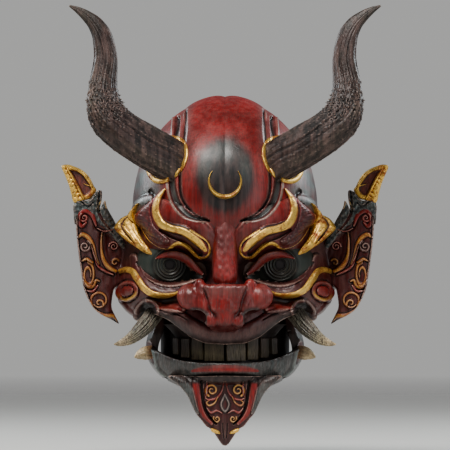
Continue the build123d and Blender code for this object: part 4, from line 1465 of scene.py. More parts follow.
def horn_collar_line():
    """Where the horn's round foot meets the form, seen from the front."""
    way = HORN_WAY / np.linalg.norm(HORN_WAY)
    one = np.cross(way, (0, 1, 0))
    one /= np.linalg.norm(one)
    two = np.cross(way, one)
    spots = []
    for degrees in range(0, 360, 15):
        a = math.radians(degrees)
        start = HORN_FOOT + 19.0 * (math.cos(a) * one + math.sin(a) * two)
        best = min(np.linspace(-26, 14, 161),
            key=lambda t: abs(face_form.y(start[0] + way[0] * t, start[2] + way[2] * t)
            - (start[1] + way[1] * t)))
        spot = start + way * best
        spots.append((float(spot[0]), float(spot[2])))
    return spots


def make_collar(use):
    spots = horn_collar_line()
    spots = spots + [spots[0]]
    piece, share, off = strap("collar", spots, [1.9, 1.5, 1.9, 2.3, 1.6, 2.0, 1.9],
        [2.2, 1.8, 2.3, 2.6, 1.9, 2.2, 2.2], face_relief, sink=3, spacing=0.7)
    paint = Paint(len(share), use.rust)
    paint.gild(np.ones(len(share)))
    return painted(piece, paint, merge=0.05)


def make_moon(use):
    arc = [(12.8 * math.sin(math.radians(a)), 68.8 - 12.8 * math.cos(math.radians(a))) for a in range(-128,
        129, 16)]
    piece, share, off = strap(
        "moon", arc, [0.2, 0.8, 1.3, 1.7, 1.9, 1.7, 1.3, 0.8, 0.2],
        [1.0, 2.2, 2.8, 3.1, 3.2, 3.1, 2.8, 2.2, 1.0], face_relief, section=lambda o: 1 - np.abs(o) ** 1.6,
        sink=1.5, spacing=0.5
    )
    paint = Paint(len(share), use.gold)
    paint.gild(np.ones(len(share)))
    return painted(piece, paint)


def make_boss(use):
    """The bored block behind each horn's collar, which takes its tenon."""
    sections = [(-25.5, 8.2), (-26, 8.8), (-26, 13.6), (-25, 14.4), (-12, 14.5), (-2, 14.5), (-2, 8.2)]
    piece = turned("boss", HORN_FOOT, HORN_WAY, sections, 64, bored=True)
    ahead = points_of(piece)
    ahead[:, 1] = np.maximum(ahead[:, 1], face_form.y(ahead[:, 0], ahead[:, 2]) + 1.5)
    move_points(piece, ahead)
    tidy_mesh(piece)
    feel_edges(piece)
    smooth(piece, 40)
    return piece


# ---------------------------------------------------------------- ears

EAR_SWEEP = math.radians(20)
EAR_ROOT = (80.0, -18.0)
EAR_LINE = [
    (77.6, 15), (84, 26.5), (93, 37), (100.6, 43.6), (107, 44.6), (112.5, 47.6), (117.6, 44.6),
    (119.6, 36), (119.4, 26), (118.2, 14),
    (116.6, 2), (115.2, -8), (113.4, -18), (109.6, -27), (104.6, -34.6), (97.6, -39.6), (90, -43.4),
    (85.6, -46),
    (88.6, -39.6), (91.4, -33), (91.0, -25), (89, -17), (84, -14.5), (76, -14),
]
COLLAR_CURL = [(101.6, 44.6), (101.8, 49.6), (97.6, 53.2), (95.4, 47)]
COLLAR_LINE = [
    (120.6, 34), (121.8, 45), (121.6, 51), (117, 54), (110, 53.4), (104.6, 59.6), (99.6, 61.4), (99.4, 54),
    (101.4, 44.6), (98.4, 50.6),
    (96.4, 53), (95, 47.4), (89.6, 37.6), (84.6, 27), (80.2, 17.6), (83, 15), (92, 26), (101, 34),
    (106, 40), (112, 45), (117, 42),
]
TIP_FOLD = [(124, 79.4), (115.6, 75.4), (109.6, 68.4), (107, 64.8), (113.6, 66.6)]
TIP_LINE = [(131.2, 80.6), (126.6, 82.2), (121, 80.6), (116, 78.4), (111.6, 75), (108.4, 70.8),
    (105.6, 65), (103.8, 61.2), (108.4, 55), (113, 53.6), (121.2, 51.6), (123.4, 58), (125.6, 66),
    (128.4, 73)]


def ear_place(x, z, rise):
    """A point of the ear's own swept plane, from its place in the front view."""
    across = (x - EAR_ROOT[0]) / math.cos(EAR_SWEEP) + 0.36 * rise
    c, s = math.cos(EAR_SWEEP), math.sin(EAR_SWEEP)
    return np.stack([EAR_ROOT[0] + across * c - s * rise, EAR_ROOT[1] - across * s - c * rise, z], axis=-1)


def scroll(x, z, centre, start, end, turns, way=1, from_angle=0.0, width=1.5):
    """A spiral ridge that winds from radius start to end about a centre."""
    angles = np.linspace(0, turns * 2 * math.pi, int(10 * turns) + 4)
    radii = np.linspace(start, end, len(angles))
    line = [
        (centre[0] + r * math.cos(way * a + math.radians(from_angle)),
        centre[1] + r * math.sin(way * a + math.radians(from_angle)))
        for a, r in zip(angles, radii)
    ]
    return stroke(x, z, line, [width, width * 0.9, width * 0.5], 3)


EAR_HOLLOW = [(99, 27), (98.4, 12), (95, 3), (88, -2.6), (82, -2), (79, 6), (80, 16), (88, 26), (94, 29)]
EAR_RIDGES = [
    ([(103.6, 33), (107, 42), (112.4, 45.2), (116.8, 42.4), (118, 36.8), (115, 32.6), (111.6, 35.4)],
    [1.0, 2.2, 2.4, 2.2, 2.0, 1.8, 1.0], "red"),
    ([(118, 23.6), (114.4, 26), (109.6, 23), (106.2, 17), (104, 8), (101.4, 2)],
    [1.0, 2.2, 2.2, 1.8, 1.4, 0.8], "gold"),
    ([(99, 27.6), (99.6, 20), (99.2, 12), (97.4, 5), (93.6, -0.6), (88.4, -3.6)],
    [0.7, 1.0, 1.4, 2.0, 2.4, 2.0], "gold"),
    ([(107.6, 17), (104.4, 6), (101.6, 0), (96.4, -3.6), (90, -6.4)], [0.5, 0.9, 1.2, 1.2, 0.8], "red"),
    ([(115, 4.6), (111, 6.2), (106.4, 3.4)], [0.8, 1.5, 1.0], "gold"),
    ([(114, -11), (110.4, -16), (105.6, -15.6), (103.8, -11), (101, -11.6)], [0.8, 1.6, 1.6, 1.2, 0.8],
    "gold"),
    ([(112, -19), (106.2, -19.6), (102.4, -15)], [0.7, 1.3, 0.8], "red"),
    ([(109.6, -26.5), (105, -35), (97.4, -39.2), (90, -39.8), (86.6, -44)], [0.8, 1.6, 2.0, 1.9, 0.9],
    "gold"),
    ([(100.6, -41.4), (93.4, -43.2), (87.6, -45)], [0.6, 1.0, 0.5], "red"),
    ([(119.4, 40), (119.2, 26), (117.4, 10), (115.4, -4), (113.6, -16), (109.4, -27)],
    [1.0, 1.2, 1.3, 1.3, 1.3, 0.8], "ash"),
    ([(90, 30), (97, 28.4), (103, 31)], [0.5, 0.9, 0.5], "red"),
]


def ear_scrolls(x, z):
    """The spirals of the ear's leaf, as (closeness, colour) pairs."""
    yield scroll(x, z, (113.4, 39.4), 3.6, 0.8, 1.4, way=-1, from_angle=60, width=1.2), "red"
    yield scroll(x, z, (112.6, 16.4), 4.6, 0.9, 1.5, way=1, from_angle=120, width=1.2), "ash"
    tall = scroll(x, z * 0.46, (110, -3.0), 4.9, 2.0, 1.3, way=1, from_angle=90, width=1.1)
    yield tall, "gold"
    yield scroll(x, z, (101.4, -27), 6.6, 5.4, 1.0, way=1, from_angle=-40, width=1.2), "gold"
    yield scroll(x, z, (101.2, -29.4), 3.4, 0.8, 0.8, way=-1, from_angle=200, width=1.1), "gold"
    yield scroll(x, z, (89.6, 16.4), 3.8, 0.6, 1.6, way=1, from_angle=0, width=0.9), "red"
    yield scroll(x, z, (88.4, 3.4), 3.2, 0.8, 0.9, way=-1, from_angle=150, width=1.1), "gold"


def make_ear(use):
    def top(x, z, deep):
        rise = 6.4 + 2.0 * dome(np.clip(deep / 3, 0, 1)) + 0.25 * wobble(x, z, 9, 81)
        rise -= 2.4 * np.clip(inside(x, z, EAR_HOLLOW) / 4, 0, 1)
        for line, widths, _ in EAR_RIDGES:
            close = stroke(x, z, line, widths)
            rise += 1.6 * dome(close) - 0.9 * np.clip(stroke(x, z, line, [w + 1.3 for w in widths])
                - close, 0, 1) * (close == 0)
        for close, _ in ear_scrolls(x, z):
            rise += 1.5 * dome(close)
        return rise

    piece, x, z, deep = grid_plate("ear", EAR_LINE, top,
        lambda x, z, deep: 0.9 - 0.9 * dome(np.clip(deep / 3, 0, 1)), ear_place, spacing=0.4)
    front = np.arange(len(x)) < len(x) // 2
    paint = Paint(len(x), use.deep_red)
    paint.lay(0.6 * ease(0.1, 0.9, wobble(x, z, 11, 82)), use.plum)
    # painted shade: the sunken hollow of the ear is painted deep red
    paint.lay(0.85 * np.clip(inside(x, z, EAR_HOLLOW) / 2.5, 0, 1), use.deep_red)
    hues = {"red": use.red, "ash": use.ash}
    for line, widths, hue in EAR_RIDGES:
        close = stroke(x, z, line, widths) * front
        around = stroke(x, z, line, [w + 1.6 for w in widths]) * front
        # painted shade: a black line round each ridge, in its groove
        paint.lay(0.7 * np.clip(around * 2, 0, 1), use.soot)
        if hue == "gold":
            paint.lay(np.clip(close * 3, 0, 1), use.rust)
            paint.gild(0.4 * np.clip(close * 2.4 - 0.9, 0, 1))
        else:
            paint.lay(np.clip(close * 2.6, 0, 1), hues[hue])
    for close, hue in ear_scrolls(x, z):
        close = close * front
        if hue == "gold":
            paint.lay(np.clip(close * 3, 0, 1), use.rust)
            paint.gild(0.34 * np.clip(close * 2.2 - 0.9, 0, 1))
        else:
            paint.lay(np.clip(close * 2.2, 0, 1), hues[hue])
    paint.lay(0.6 * (~front), use.soot)
    return painted(piece, paint)


def make_ear_collar(use):
    def top(x, z, deep):
        rise = 7.6 + 1.6 * dome(np.clip(deep / 2.2, 0, 1)) + 0.45 * wobble(x, z, 5, 84)
        rise -= 1.8 * dome(stroke(x, z, [(100.8, 62), (101.6, 52), (101.6, 44), (97.6, 36), (90, 27)],
            [0.6, 1.2, 1.3, 1.0, 0.4]))
        rise += 1.1 * dome(stroke(x, z, COLLAR_CURL, [0.5, 0.9, 1.0, 0.5]))
        rise -= 1.2 * dome(stroke(x, z, [(116, 53), (110.6, 48.6), (106, 51.6)], [0.4, 1.1, 0.5]))
        return rise + 0.7 * dome(stroke(x, z, [(118, 52), (112, 50.6), (104, 57.4)], [0.4, 1.2, 0.6]))

    piece, x, z, deep = grid_plate("ear_collar", COLLAR_LINE, top, lambda x, z, deep: 0.7 + 0 * x,
        ear_place, spacing=0.4)
    paint = Paint(len(x), srgb(70, 82, 82))
    paint.lay(0.6 * ease(0.0, 0.9, wobble(x, z * 0.6, 6, 85)), srgb(48, 54, 56))
    paint.lay(0.6 * ease(0.2, 0.9, wobble(x * 1.5, z * 0.5, 4.4, 86)), srgb(128, 140, 136))
    paint.lay(np.clip(2.5 * stroke(x, z, COLLAR_CURL, [0.5, 0.9, 1.0, 0.5]), 0, 1), use.gold)
    # painted shade: the carved groove is painted black
    paint.lay(0.9 * np.clip(2 * stroke(x, z, [(101.4, 60), (101.8, 52), (101.4, 44), (97.6, 36), (90, 27)],
        [0.6, 1.2, 1.3, 1.0, 0.4]), 0, 1), use.soot)
    return painted(piece, paint)


def make_ear_tip(use):
    leaf = [(125.6, 78), (119.4, 77.4), (113.6, 73.6), (109.4, 67.6), (107, 62), (110.6, 57.6),
        (114.4, 57.6), (118.6, 65.6), (123, 73.6)]
    ridge = [(126.4, 78.6), (121.6, 70.6), (117, 61.6), (113.4, 54.4)]

    def top(x, z, deep):
        rise = 7.0 + 2.2 * dome(np.clip(deep / 2.4, 0, 1))
        rise -= 1.6 * np.clip(inside(x, z, leaf) / 1.6, 0, 1)
        rise += 1.4 * dome(stroke(x, z, ridge, [0.8, 1.1, 1.2, 0.8]))
        rise += 0.9 * dome(stroke(x, z, TIP_FOLD, [0.4, 0.8, 0.9, 0.8, 0.3]))
        return rise + 0.5 * wobble(x, z, 4.2, 88) * ease(0, 2,
            x - np.interp(z, [54, 62, 71, 79], [113, 117, 121.4, 126.4]))

    piece, x, z, deep = grid_plate("ear_tip", TIP_LINE, top, lambda x, z, deep: 0.7 + 0 * x, ear_place,
        spacing=0.36)
    front = np.arange(len(x)) < len(x) // 2
    paint = Paint(len(x), use.rust)
    paint.gild(np.ones(len(x)))
    red = np.clip(inside(x, z, leaf) / 0.8, 0, 1) * front
    paint.lay(red, srgb(118, 52, 34))
    paint.lay(0.5 * red * ease(0.1, 0.8, wobble(x, z, 6, 87)), use.deep_red)
    for line, widths in ((ridge, [0.8, 1.1, 1.2, 0.8]), (TIP_FOLD, [0.4, 0.8, 0.9, 0.8, 0.3])):
        paint.gild(0.8 * np.clip(2 * stroke(x, z, line, widths), 0, 1) * front)
    return painted(piece, paint)


# ---------------------------------------------------------------- jaw, teeth and beard

JAW_LEVELS = [(-97, 37, 78), (-88, 53, 91), (-76, 62, 95), (-62, 64, 92), (-50, 60.5, 84), (-30, 60, 78),
    (-8, 60, 70)]
jaw_form = Form(JAW_LEVELS)
LIP_BASE = [(56.4, -62), (54.2, -70), (51.2, -79.6), (44.8, -86), (33, -87.1), (26.5, -85.6),
    (15.8, -83.8), (0, -83)]
LIP_BAND = [(57, -60), (52.6, -70.6), (46.6, -78), (38, -80), (27, -80.2), (14, -79.2), (0, -79)]
SIDE_PANEL = [(63.4, -60.6), (59, -59.4), (57.2, -62), (54.6, -71), (53.6, -78.4), (59.4, -77.4), (63, -69)]


def copied(node, name):
    """A new mesh that starts as a copy of a plain solid, ready to be carved."""
    source = bpy.data.objects[node]
    piece = bpy.data.objects.new(name, source.data.copy())
    bpy.context.scene.collection.objects.link(piece)
    piece.matrix_world = source.matrix_world.copy()
    select_only(piece)
    bpy.ops.object.transform_apply(location=True, rotation=True, scale=True)
    for old in [a.name for a in piece.data.attributes if a.name in ("tint", "gilt", "edge")]:
        piece.data.attributes.remove(piece.data.attributes[old])
    return piece


def make_jaw(use):
    piece = copied("lower_jaw", "jaw_carving")
    tidy_mesh(piece, 0.05)
    remesh(piece, 0.75)
    apply_modifier(piece, "SMOOTH", factor=0.5, iterations=3)
    co, no = points_of(piece), normals_of(piece)
    x, z = np.abs(co[:, 0]), co[:, 2]
    at_form = np.minimum(x, jaw_form.width(z) - 0.2)
    on_front = ease(4.5, 1.5, co[:, 1] - jaw_form.y(at_form, z)) * ease(-50, -56, z)
    rise = 3.4 * dome(stroke(x, z, LIP_BAND, [3.0, 6.0, 7.4, 7.0, 6.2, 5.4, 5.2]))
    rise += 1.0 * dome(stroke(x, z, LIP_BASE[2:], [1.0, 1.8, 2.2, 2.2, 2.2]))
    rise -= 3.2 * dome(stroke(x, z, [(48, -90), (34, -91.4), (18, -89.4), (0, -88.4)], [1.5, 4.0, 4.6, 4.8]))
    rise += 1.3 * dome(stroke(x, z, LIP_BASE[:4], [0.9, 1.3, 1.4, 1.2]))
    rise -= 2.0 * np.clip(inside(x, z, SIDE_PANEL) / 1.6, 0, 1)
    rise += 0.22 * wobble(co[:, 0] * 3.4, z * 0.7, 4.0, 91) * ease(-72, -76, z)
    shift = jaw_form.place(at_form, z, rise * on_front) - jaw_form.place(at_form, z, 0 * z)
    shift[:, 0] *= np.sign(co[:, 0])
    move_points(piece, co + shift)
    apply_modifier(piece, "SMOOTH", factor=0.5, iterations=3)
    inner = 1 - on_front
    paint = Paint(len(x), srgb(66, 72, 71))
    paint.lay(0.5 * ease(0.1, 0.8, wobble(co[:, 0] * 4.2, z * 0.8, 4.4, 93)), srgb(112, 121, 119))
    paint.lay(0.6 * ease(0.0, 0.8, wobble(co[:, 0] * 3.2, z * 0.6, 5.0, 94)), srgb(38, 38, 38))
    # painted shade: the top of the lower lip, where it turns into the mouth, is painted dark
    paint.lay(0.7 * ease(-76.5, -72.5, z) * (x < 46), srgb(26, 24, 24))
    rim = stroke(x, z, [(26, -82.4), (15.8, -80.8), (0, -80.2)], [1.2, 3.0, 3.6])
    paint.lay(np.clip(2.2 * rim, 0, 1), use.red)
    paint.lay(0.4 * np.clip(3 * stroke(x, z, [(26, -80.6), (15.8, -79.2), (0, -78.8)], [0.4, 1.0, 1.2]), 0,
        1), use.ash)
    # painted shadow: the band under the lower lip's edge is painted black
    below = ease(-0.3, -2.2, z - np.interp(x, [0, 15.8, 26.5, 33, 44.8, 51.2, 54.2],
        [-83.0, -83.6, -85.2, -86.6, -86, -80, -70.6]))
    paint.lay(0.97 * below * (x < 52), use.soot)
    panel = np.clip(inside(x, z, SIDE_PANEL) / 0.8, 0, 1)
    paint.lay(panel, use.deep_red)
    paint.lay(0.7 * panel * ease(0.2, 0.8, wobble(x, z, 3, 95)), use.plum)
    paint.lay(0.8 * np.clip(2 * stroke(x, z, LIP_BASE[:4], [0.8, 1.1, 1.2, 1.0]), 0, 1), use.verdigris)
    paint.lay(0.93 * inner, (0.03, 0.017, 0.014))
    paint.lay(0.5 * inner * ease(-52, -44, z), use.deep_red)
    return painted(piece, paint, clean=False, passes=3, reach=0.6)


BEARD_LINE = [
    (0, -86), (14, -86.4), (28, -86.6), (40, -86.2), (45, -87.2), (38.6, -92.4), (33.6, -97.4),
    (29.8, -102.6), (27, -108.6), (23.4, -116), (19, -121.4),
    (14.9, -126.6), (12.6, -127.8), (9.0, -131.4), (5.6, -136.6), (2.4, -141),
]
GREY_STRIP = [(40, -87.6), (33.6, -91.6), (28.6, -99), (25.4, -108), (21.4, -116)]
RED_STRIP = [(23.6, -90), (22.6, -99), (20.4, -109), (16.4, -117.6), (10.6, -124.4)]
DARK_GROOVE = [(18.9, -90.6), (18, -101), (16.6, -110.6), (12.9, -118.6), (7.0, -124.6)]


def beard_place(x, z, rise):
    jaw = np.where(z > -97, jaw_form.y(np.minimum(np.abs(x), 60), z), 0)
    ahead = np.minimum(-84.0, jaw - 1.0)
    behind = np.minimum(-66.0, jaw - 0.15)
    return np.stack([x, np.where(rise > -10, ahead - rise, behind), z], axis=-1)


def beard_scrolls(x, z):
    yield scroll(x, z, (10.4, -97.8), 5.2, 1.0, 1.5, way=1, from_angle=-60, width=1.2), "gold"
    yield stroke(x, z, [(0.6, -90.4), (2.6, -98.6), (6.8, -104), (12.6, -105.4), (15.4, -104)],
        [0.6, 1.0, 1.1, 1.0, 0.5]), "red"
    yield stroke(x, z, [(5.6, -103), (8.4, -108), (12.6, -110), (14.6, -107.6), (12.6, -106)],
        [0.5, 0.9, 1.0, 0.8, 0.4]), "gold"
    yield scroll(x, z, (6.4, -120.6), 2.9, 0.6, 1.3, way=-1, from_angle=30, width=0.9), "gold"
    yield stroke(x, z, [(2.4, -116), (6.6, -114), (11, -115.6), (14.4, -112)], [0.5, 1.0, 1.1, 0.5]), "red"
    yield stroke(x, z, [(14.6, -91), (14.2, -98), (15.4, -103)], [0.6, 1.0, 0.5]), "red"


def make_beard(use):
    line = BEARD_LINE + [(0, -142)] + [(-x, z) for x, z in reversed(BEARD_LINE[1:])]
    drop = [(0, -100), (2.6, -104), (4.3, -108.6), (3.0, -113.4), (0, -116), (-3.0, -113.4),
        (-4.3, -108.6), (-2.6, -104)]

    def top(x, z, deep):
        side = np.abs(x)
        rise = 1.0 + 2.2 * dome(np.clip(deep / 6, 0, 1)) * ease(-86, -92,
            z) + 2.0 * dome(stroke(side, z, GREY_STRIP, [2.0, 4.2, 4.0, 3.2, 1.2]))
        rise += 1.7 * dome(stroke(side, z, RED_STRIP, [2.8, 3.2, 3.0, 2.6, 1.4]))
        rise -= 2.2 * dome(stroke(side, z, DARK_GROOVE, [1.0, 1.3, 1.4, 1.3, 0.8]))
        for close, _ in beard_scrolls(side, z):
            rise += 1.3 * dome(close)
        within = inside(x, z, drop)
        rise += 2.0 * dome(np.clip(within / 1.6, 0, 1)) - 1.5 * dome(np.clip((within - 1.7) / 1.2, 0, 1))
        rise -= 0.8 * dome(stroke(side, z, [(1.8, -124), (1.6, -130), (1.0, -136)], [0.5, 0.9, 0.4]))
        rise += 0.18 * wobble(x * 3, z * 0.5, 4,
            96) * np.clip(stroke(side, z, GREY_STRIP, [3, 5, 5, 4, 2]) * 2, 0, 1)
        return rise * ease(0.0, 1.2, deep + 0.7)

    piece, x, z, deep = grid_plate("beard_carving", line, top, lambda x, z, deep: -18 + 0 * x, beard_place,
        spacing=0.42)
    front = np.arange(len(x)) < len(x) // 2
    side = np.abs(x)
    paint = Paint(len(x), use.deep_red)
    paint.lay(0.8 * ease(-116, -122, z) * (side < 12), (0.045, 0.006, 0.006))
    paint.lay(np.clip(2.4 * stroke(side, z, RED_STRIP, [2.8, 3.2, 3.0, 2.6, 1.4]), 0, 1), use.red)
    paint.lay(0.4 * np.clip(2 * stroke(side, z, RED_STRIP, [2.8, 3.2, 3.0, 2.6, 1.4]), 0, 1)
        * ease(0.1, 0.8, wobble(x * 3, z * 0.6, 4, 97)), use.plum)
    grey = np.clip(2.2 * stroke(side, z, GREY_STRIP, [2.0, 4.6, 4.4, 3.4, 1.2]), 0, 1)
    paint.lay(grey, srgb(84, 90, 88))
    paint.lay(0.6 * grey * ease(0.0, 0.8, wobble(x * 4, z * 0.8, 4.2, 98)), srgb(60, 60, 58))
    for close, hue in beard_scrolls(side, z):
        paint.lay(np.clip(close * 2.4, 0, 1), use.rust if hue == "gold" else use.red)
        if hue == "gold":
            paint.gild(0.5 * np.clip(close * 2 - 0.7, 0, 1))
    within = inside(x, z, drop)
    paint.lay(np.clip(within / 0.5, 0, 1), srgb(88, 92, 92))
    paint.lay(np.clip((within - 1.9) / 0.5, 0, 1), use.deep_red)
    # painted shade: the carved groove is painted black
    paint.lay(0.9 * np.clip(2 * stroke(side, z, DARK_GROOVE, [1.0, 1.4, 1.5, 1.4, 0.8]), 0, 1), use.soot)
    # painted shadow: the top strip, under the jaw's lip, is painted near black
    paint.lay(0.97 * ease(-93.5, -91.0, z), (0.008, 0.006, 0.006))
    paint.lay(0.75 * (~front), use.soot)
    return painted(piece, paint)


def make_claws(use):
    """The pair of small gilt claws low on the beard."""
    line = [(11.2, -128.2), (8.2, -128.6), (4.6, -130.4), (3.8, -132.6), (7.2, -132.2), (10.6, -130.8)]

    def place(x, z, rise):
        return np.stack([x, -85.6 - rise, z], axis=-1)

    piece, x, z, deep = grid_plate("claw", line,
        lambda x, z, deep: 1.2 + 1.9 * dome(np.clip(deep / 1.5, 0, 1)), lambda x, z, deep: -0.6 + 0 * x,
        place, spacing=0.25)
    paint = Paint(len(x), use.rust)
    paint.gild(np.ones(len(x)))
    put_paint(piece, paint.tint, paint.gilt)
    tidy_mesh(piece)
    twin = mirrored(piece, "claw_twin")
    select_only(piece)
    twin.select_set(True)
    bpy.ops.object.join()
    feel_edges(piece)
    smooth(piece, 60)
    return piece


def make_lining(use):
    """The dark board behind the teeth, drawn out at its sides to just clear the jaw's arms. Its black also
    stands in for the shade inside the mouth.
    """
    piece = copied("mouth_lining", "lining")
    tidy_mesh(piece, 0.02)
    co = points_of(piece)
    side = np.abs(co[:, 0])
    co[:, 0] = np.sign(co[:, 0]) * np.where(side > 44, 44 + (side - 44) * 1.58, side)
    top = co[:, 2].max()
    co[:, 2] += 6 * ease(top - 2, top - 0.5, co[:, 2])
    move_points(piece, co)
    smooth(piece, 40)
    return piece


def make_teeth(use):
    piece = copied("upper_teeth", "teeth")
    tidy_mesh(piece, 0.05)
    remesh(piece, 0.4)
    apply_modifier(piece, "SMOOTH", factor=0.5, iterations=7)
    co, no = points_of(piece), normals_of(piece)
    x, z = np.abs(co[:, 0]), co[:, 2]
    co += no * (0.12 * wobble(co[:, 0] * 2, z * 0.4, 5, 101))[:, None]
    move_points(piece, co)
    paint = Paint(len(x), use.tooth)
    paint.lay(0.5 * ease(0.1, 0.8, wobble(co[:, 0] * 3, z * 0.5, 5, 102)), srgb(58, 52, 40))
    # painted shade: the teeth are darker towards the upper lip, towards the back and where they face away
    paint.lay(0.85 * ease(-70, -60, z), (0.02, 0.016, 0.012))
    paint.lay(0.7 * ease(15, 34, x), (0.03, 0.026, 0.02))
    paint.lay(0.5 * ease(-64, -66, -65.0) * ease(0.2, 0.5, 1 + no[:, 1]), (0.02, 0.016, 0.012))
    return painted(piece, paint, clean=False)


# ---------------------------------------------------------------- finishes of the pieces

FINISHES = {
    "lacquered_wood": {},
    "old_horn": dict(grain=0.9, wear=0.35, rough=0.5, bump=0.5, gilded=False, coat=0.1),
    "ivory_paint": dict(grain=0.4, wear=0.2, rough=0.45, bump=0.2, gilded=False),
    "bronze": dict(grain=0.15, wear=0.35, rough=0.36, bump=0.1, gilded=False),
    "oiled_wood": dict(plain="timber", grain=0.8, wear=0.2, rough=0.6, bump=0.4, gilded=False, coat=0.05),
    "smoked_lacquer": dict(plain="soot", grain=0.3, wear=0.2, rough=0.35, bump=0.15, gilded=False),
}
FITTINGS = {
    "hinge_block": "oiled_wood",
    "horn_tenon": "oiled_wood",
    "ear_pegs": "oiled_wood",
    "beard_pegs": "oiled_wood",
    "upper_gum": "smoked_lacquer",
    "hinge_pin": "old_brass",
    "jaw_stops": "old_brass",
    "cord_bush": "old_brass",
}


def brass_finish(name):
    """Old turned brass: brown where it is touched least, with fine scratches."""
    material = bpy.data.materials.new(name)
    material.use_nodes = True
    tree = material.node_tree
    shader = tree.nodes["Principled BSDF"]
    where = tree.nodes.new("ShaderNodeTexCoord").outputs["Object"]
    cloud = tree.nodes.new("ShaderNodeTexNoise")
    cloud.inputs["Scale"].default_value = 160
    cloud.inputs["Detail"].default_value = 5
    scratch = tree.nodes.new("ShaderNodeTexNoise")
    scratch.inputs["Scale"].default_value = 1400
    ramp = tree.nodes.new("ShaderNodeValToRGB")
    ramp.color_ramp.elements[0].position = 0.35
    ramp.color_ramp.elements[0].color = (*srgb(84, 58, 28), 1)
    ramp.color_ramp.elements[1].position = 0.65
    ramp.color_ramp.elements[1].color = (*srgb(188, 148, 82), 1)
    relief = tree.nodes.new("ShaderNodeBump")
    relief.inputs["Strength"].default_value = 0.15
    relief.inputs["Distance"].default_value = 0.0002
    join = tree.links.new
    join(where, cloud.inputs["Vector"])
    join(where, scratch.inputs["Vector"])
    join(cloud.outputs["Fac"], ramp.inputs["Fac"])
    join(ramp.outputs["Color"], shader.inputs["Base Color"])
    join(scratch.outputs["Fac"], relief.inputs["Height"])
    join(relief.outputs["Normal"], shader.inputs["Normal"])
    shader.inputs["Metallic"].default_value = 1.0
    shader.inputs["Roughness"].default_value = 0.36
    return material


def finish_of(name, use):
    """The named finish, made the first time that it is asked for."""
    known = bpy.data.materials.get(name)
    if known:
        return known
    if name == "old_brass":
        return brass_finish(name)
    settings = dict(FINISHES[name])
    if "plain" in settings:
        settings["plain"] = tuple(getattr(use, settings["plain"]))
    return wood_finish(name, use, **settings)


# ---------------------------------------------------------------- operators


class MaskStep:
    """What every step of the mask shares."""

    bl_options = {"REGISTER", "UNDO"}

    def execute(self, context):
        self.make(context.scene.mask_colours, context.scene.mask_sizes)
        return {"FINISHED"}


class MASK_OT_stage(MaskStep, bpy.types.Operator):
    """Set up the floor, the lights and the camera"""

    bl_idname = "mask.stage"
    bl_label = "Stage"

    def make(self, use, sizes):
        set_stage(use, sizes)


class MASK_OT_face(MaskStep, bpy.types.Operator):
    """Carve the hollow face with its eyes, sockets and cord holes"""

    bl_idname = "mask.face"
    bl_label = "Face"

    def make(self, use, sizes):
        piece = face_shell(use, sizes)
        feel_edges(piece)
        smooth(piece, 60)
        fit(piece, "mask", "red_lacquer", finish_of("lacquered_wood", use), "face_shell")
        boss = make_boss(use)
        fit_pair(boss, "socket_boss", "mask", "bare_wood", finish_of("oiled_wood", use))


class MASK_OT_nose(MaskStep, bpy.types.Operator):
    """Carve the nose with its flat tip and rolled wings"""

    bl_idname = "mask.nose"
    bl_label = "Nose"

    def make(self, use, sizes):
        fit(make_nose(use), "mask", "red_lacquer", finish_of("lacquered_wood", use), "nose")


class MASK_OT_brows(MaskStep, bpy.types.Operator):
    """Carve and gild the brows and the wings beside them"""

    bl_idname = "mask.brows"
    bl_label = "Brows"

    def make(self, use, sizes):
        finish = finish_of("lacquered_wood", use)
        fit_pair(make_brow(use), "brow_carving", "mask", "gold_leaf", finish, "brow_carving")
        fit_pair(make_wing(use), "brow_wing", "mask", "gold_leaf", finish, "brow_wing")


class MASK_OT_bands(MaskStep, bpy.types.Operator):
    """Lay the gilt bands on the cheeks and the lids over the eyes"""

    bl_idname = "mask.bands"
    bl_label = "Bands and lids"

    def make(self, use, sizes):
        finish = finish_of("lacquered_wood", use)
        fit_pair(make_cheek_band(use), "cheek_band", "mask", "gold_leaf", finish)
        fit_pair(make_upper_lid(use), "upper_lid", "mask", "red_lacquer", finish)


class MASK_OT_eyes(MaskStep, bpy.types.Operator):
    """Turn the metal eyes with their rings and pupil holes"""

    bl_idname = "mask.eyes"
    bl_label = "Eyes"

    def make(self, use, sizes):
        fit_pair(make_eye(use), "eye", "mask", "dark_bronze", finish_of("bronze", use), "eye")


class MASK_OT_moon(MaskStep, bpy.types.Operator):
    """Set the brass crescent on the forehead"""

    bl_idname = "mask.moon"
    bl_label = "Moon"

    def make(self, use, sizes):
        fit(make_moon(use), "mask", "brass", finish_of("lacquered_wood", use), "crescent_moon")


class MASK_OT_horns(MaskStep, bpy.types.Operator):
    """Carve the horns and lay their gilt collars"""

    bl_idname = "mask.horns"
    bl_label = "Horns"

    def make(self, use, sizes):
        fit_pair(make_horn(use), "horn", "SIDE_horn_body", "weathered_horn", finish_of("old_horn", use),
            "horn")
        fit_pair(make_collar(use), "horn_collar", "mask", "gold_leaf", finish_of("lacquered_wood", use),
            "horn_collar")


class MASK_OT_ears(MaskStep, bpy.types.Operator):
    """Carve the ears: leaf, collar and tip"""

    bl_idname = "mask.ears"
    bl_label = "Ears"

    def make(self, use, sizes):
        finish = finish_of("lacquered_wood", use)
        fit_pair(make_ear(use), "ear", "mask", "red_lacquer", finish, "ear")
        fit_pair(make_ear_collar(use), "ear_collar", "mask", "verdigris_lacquer", finish, "ear_collar")
        fit_pair(make_ear_tip(use), "ear_tip", "mask", "gold_leaf", finish, "ear_tip")


class MASK_OT_tusks(MaskStep, bpy.types.Operator):
    """Carve the tusks at the corners of the mouth"""

    bl_idname = "mask.tusks"
    bl_label = "Tusks"

    def make(self, use, sizes):
        fit_pair(make_tusk(use), "tusk", "mask", "weathered_horn", finish_of("old_horn", use), "tusk")


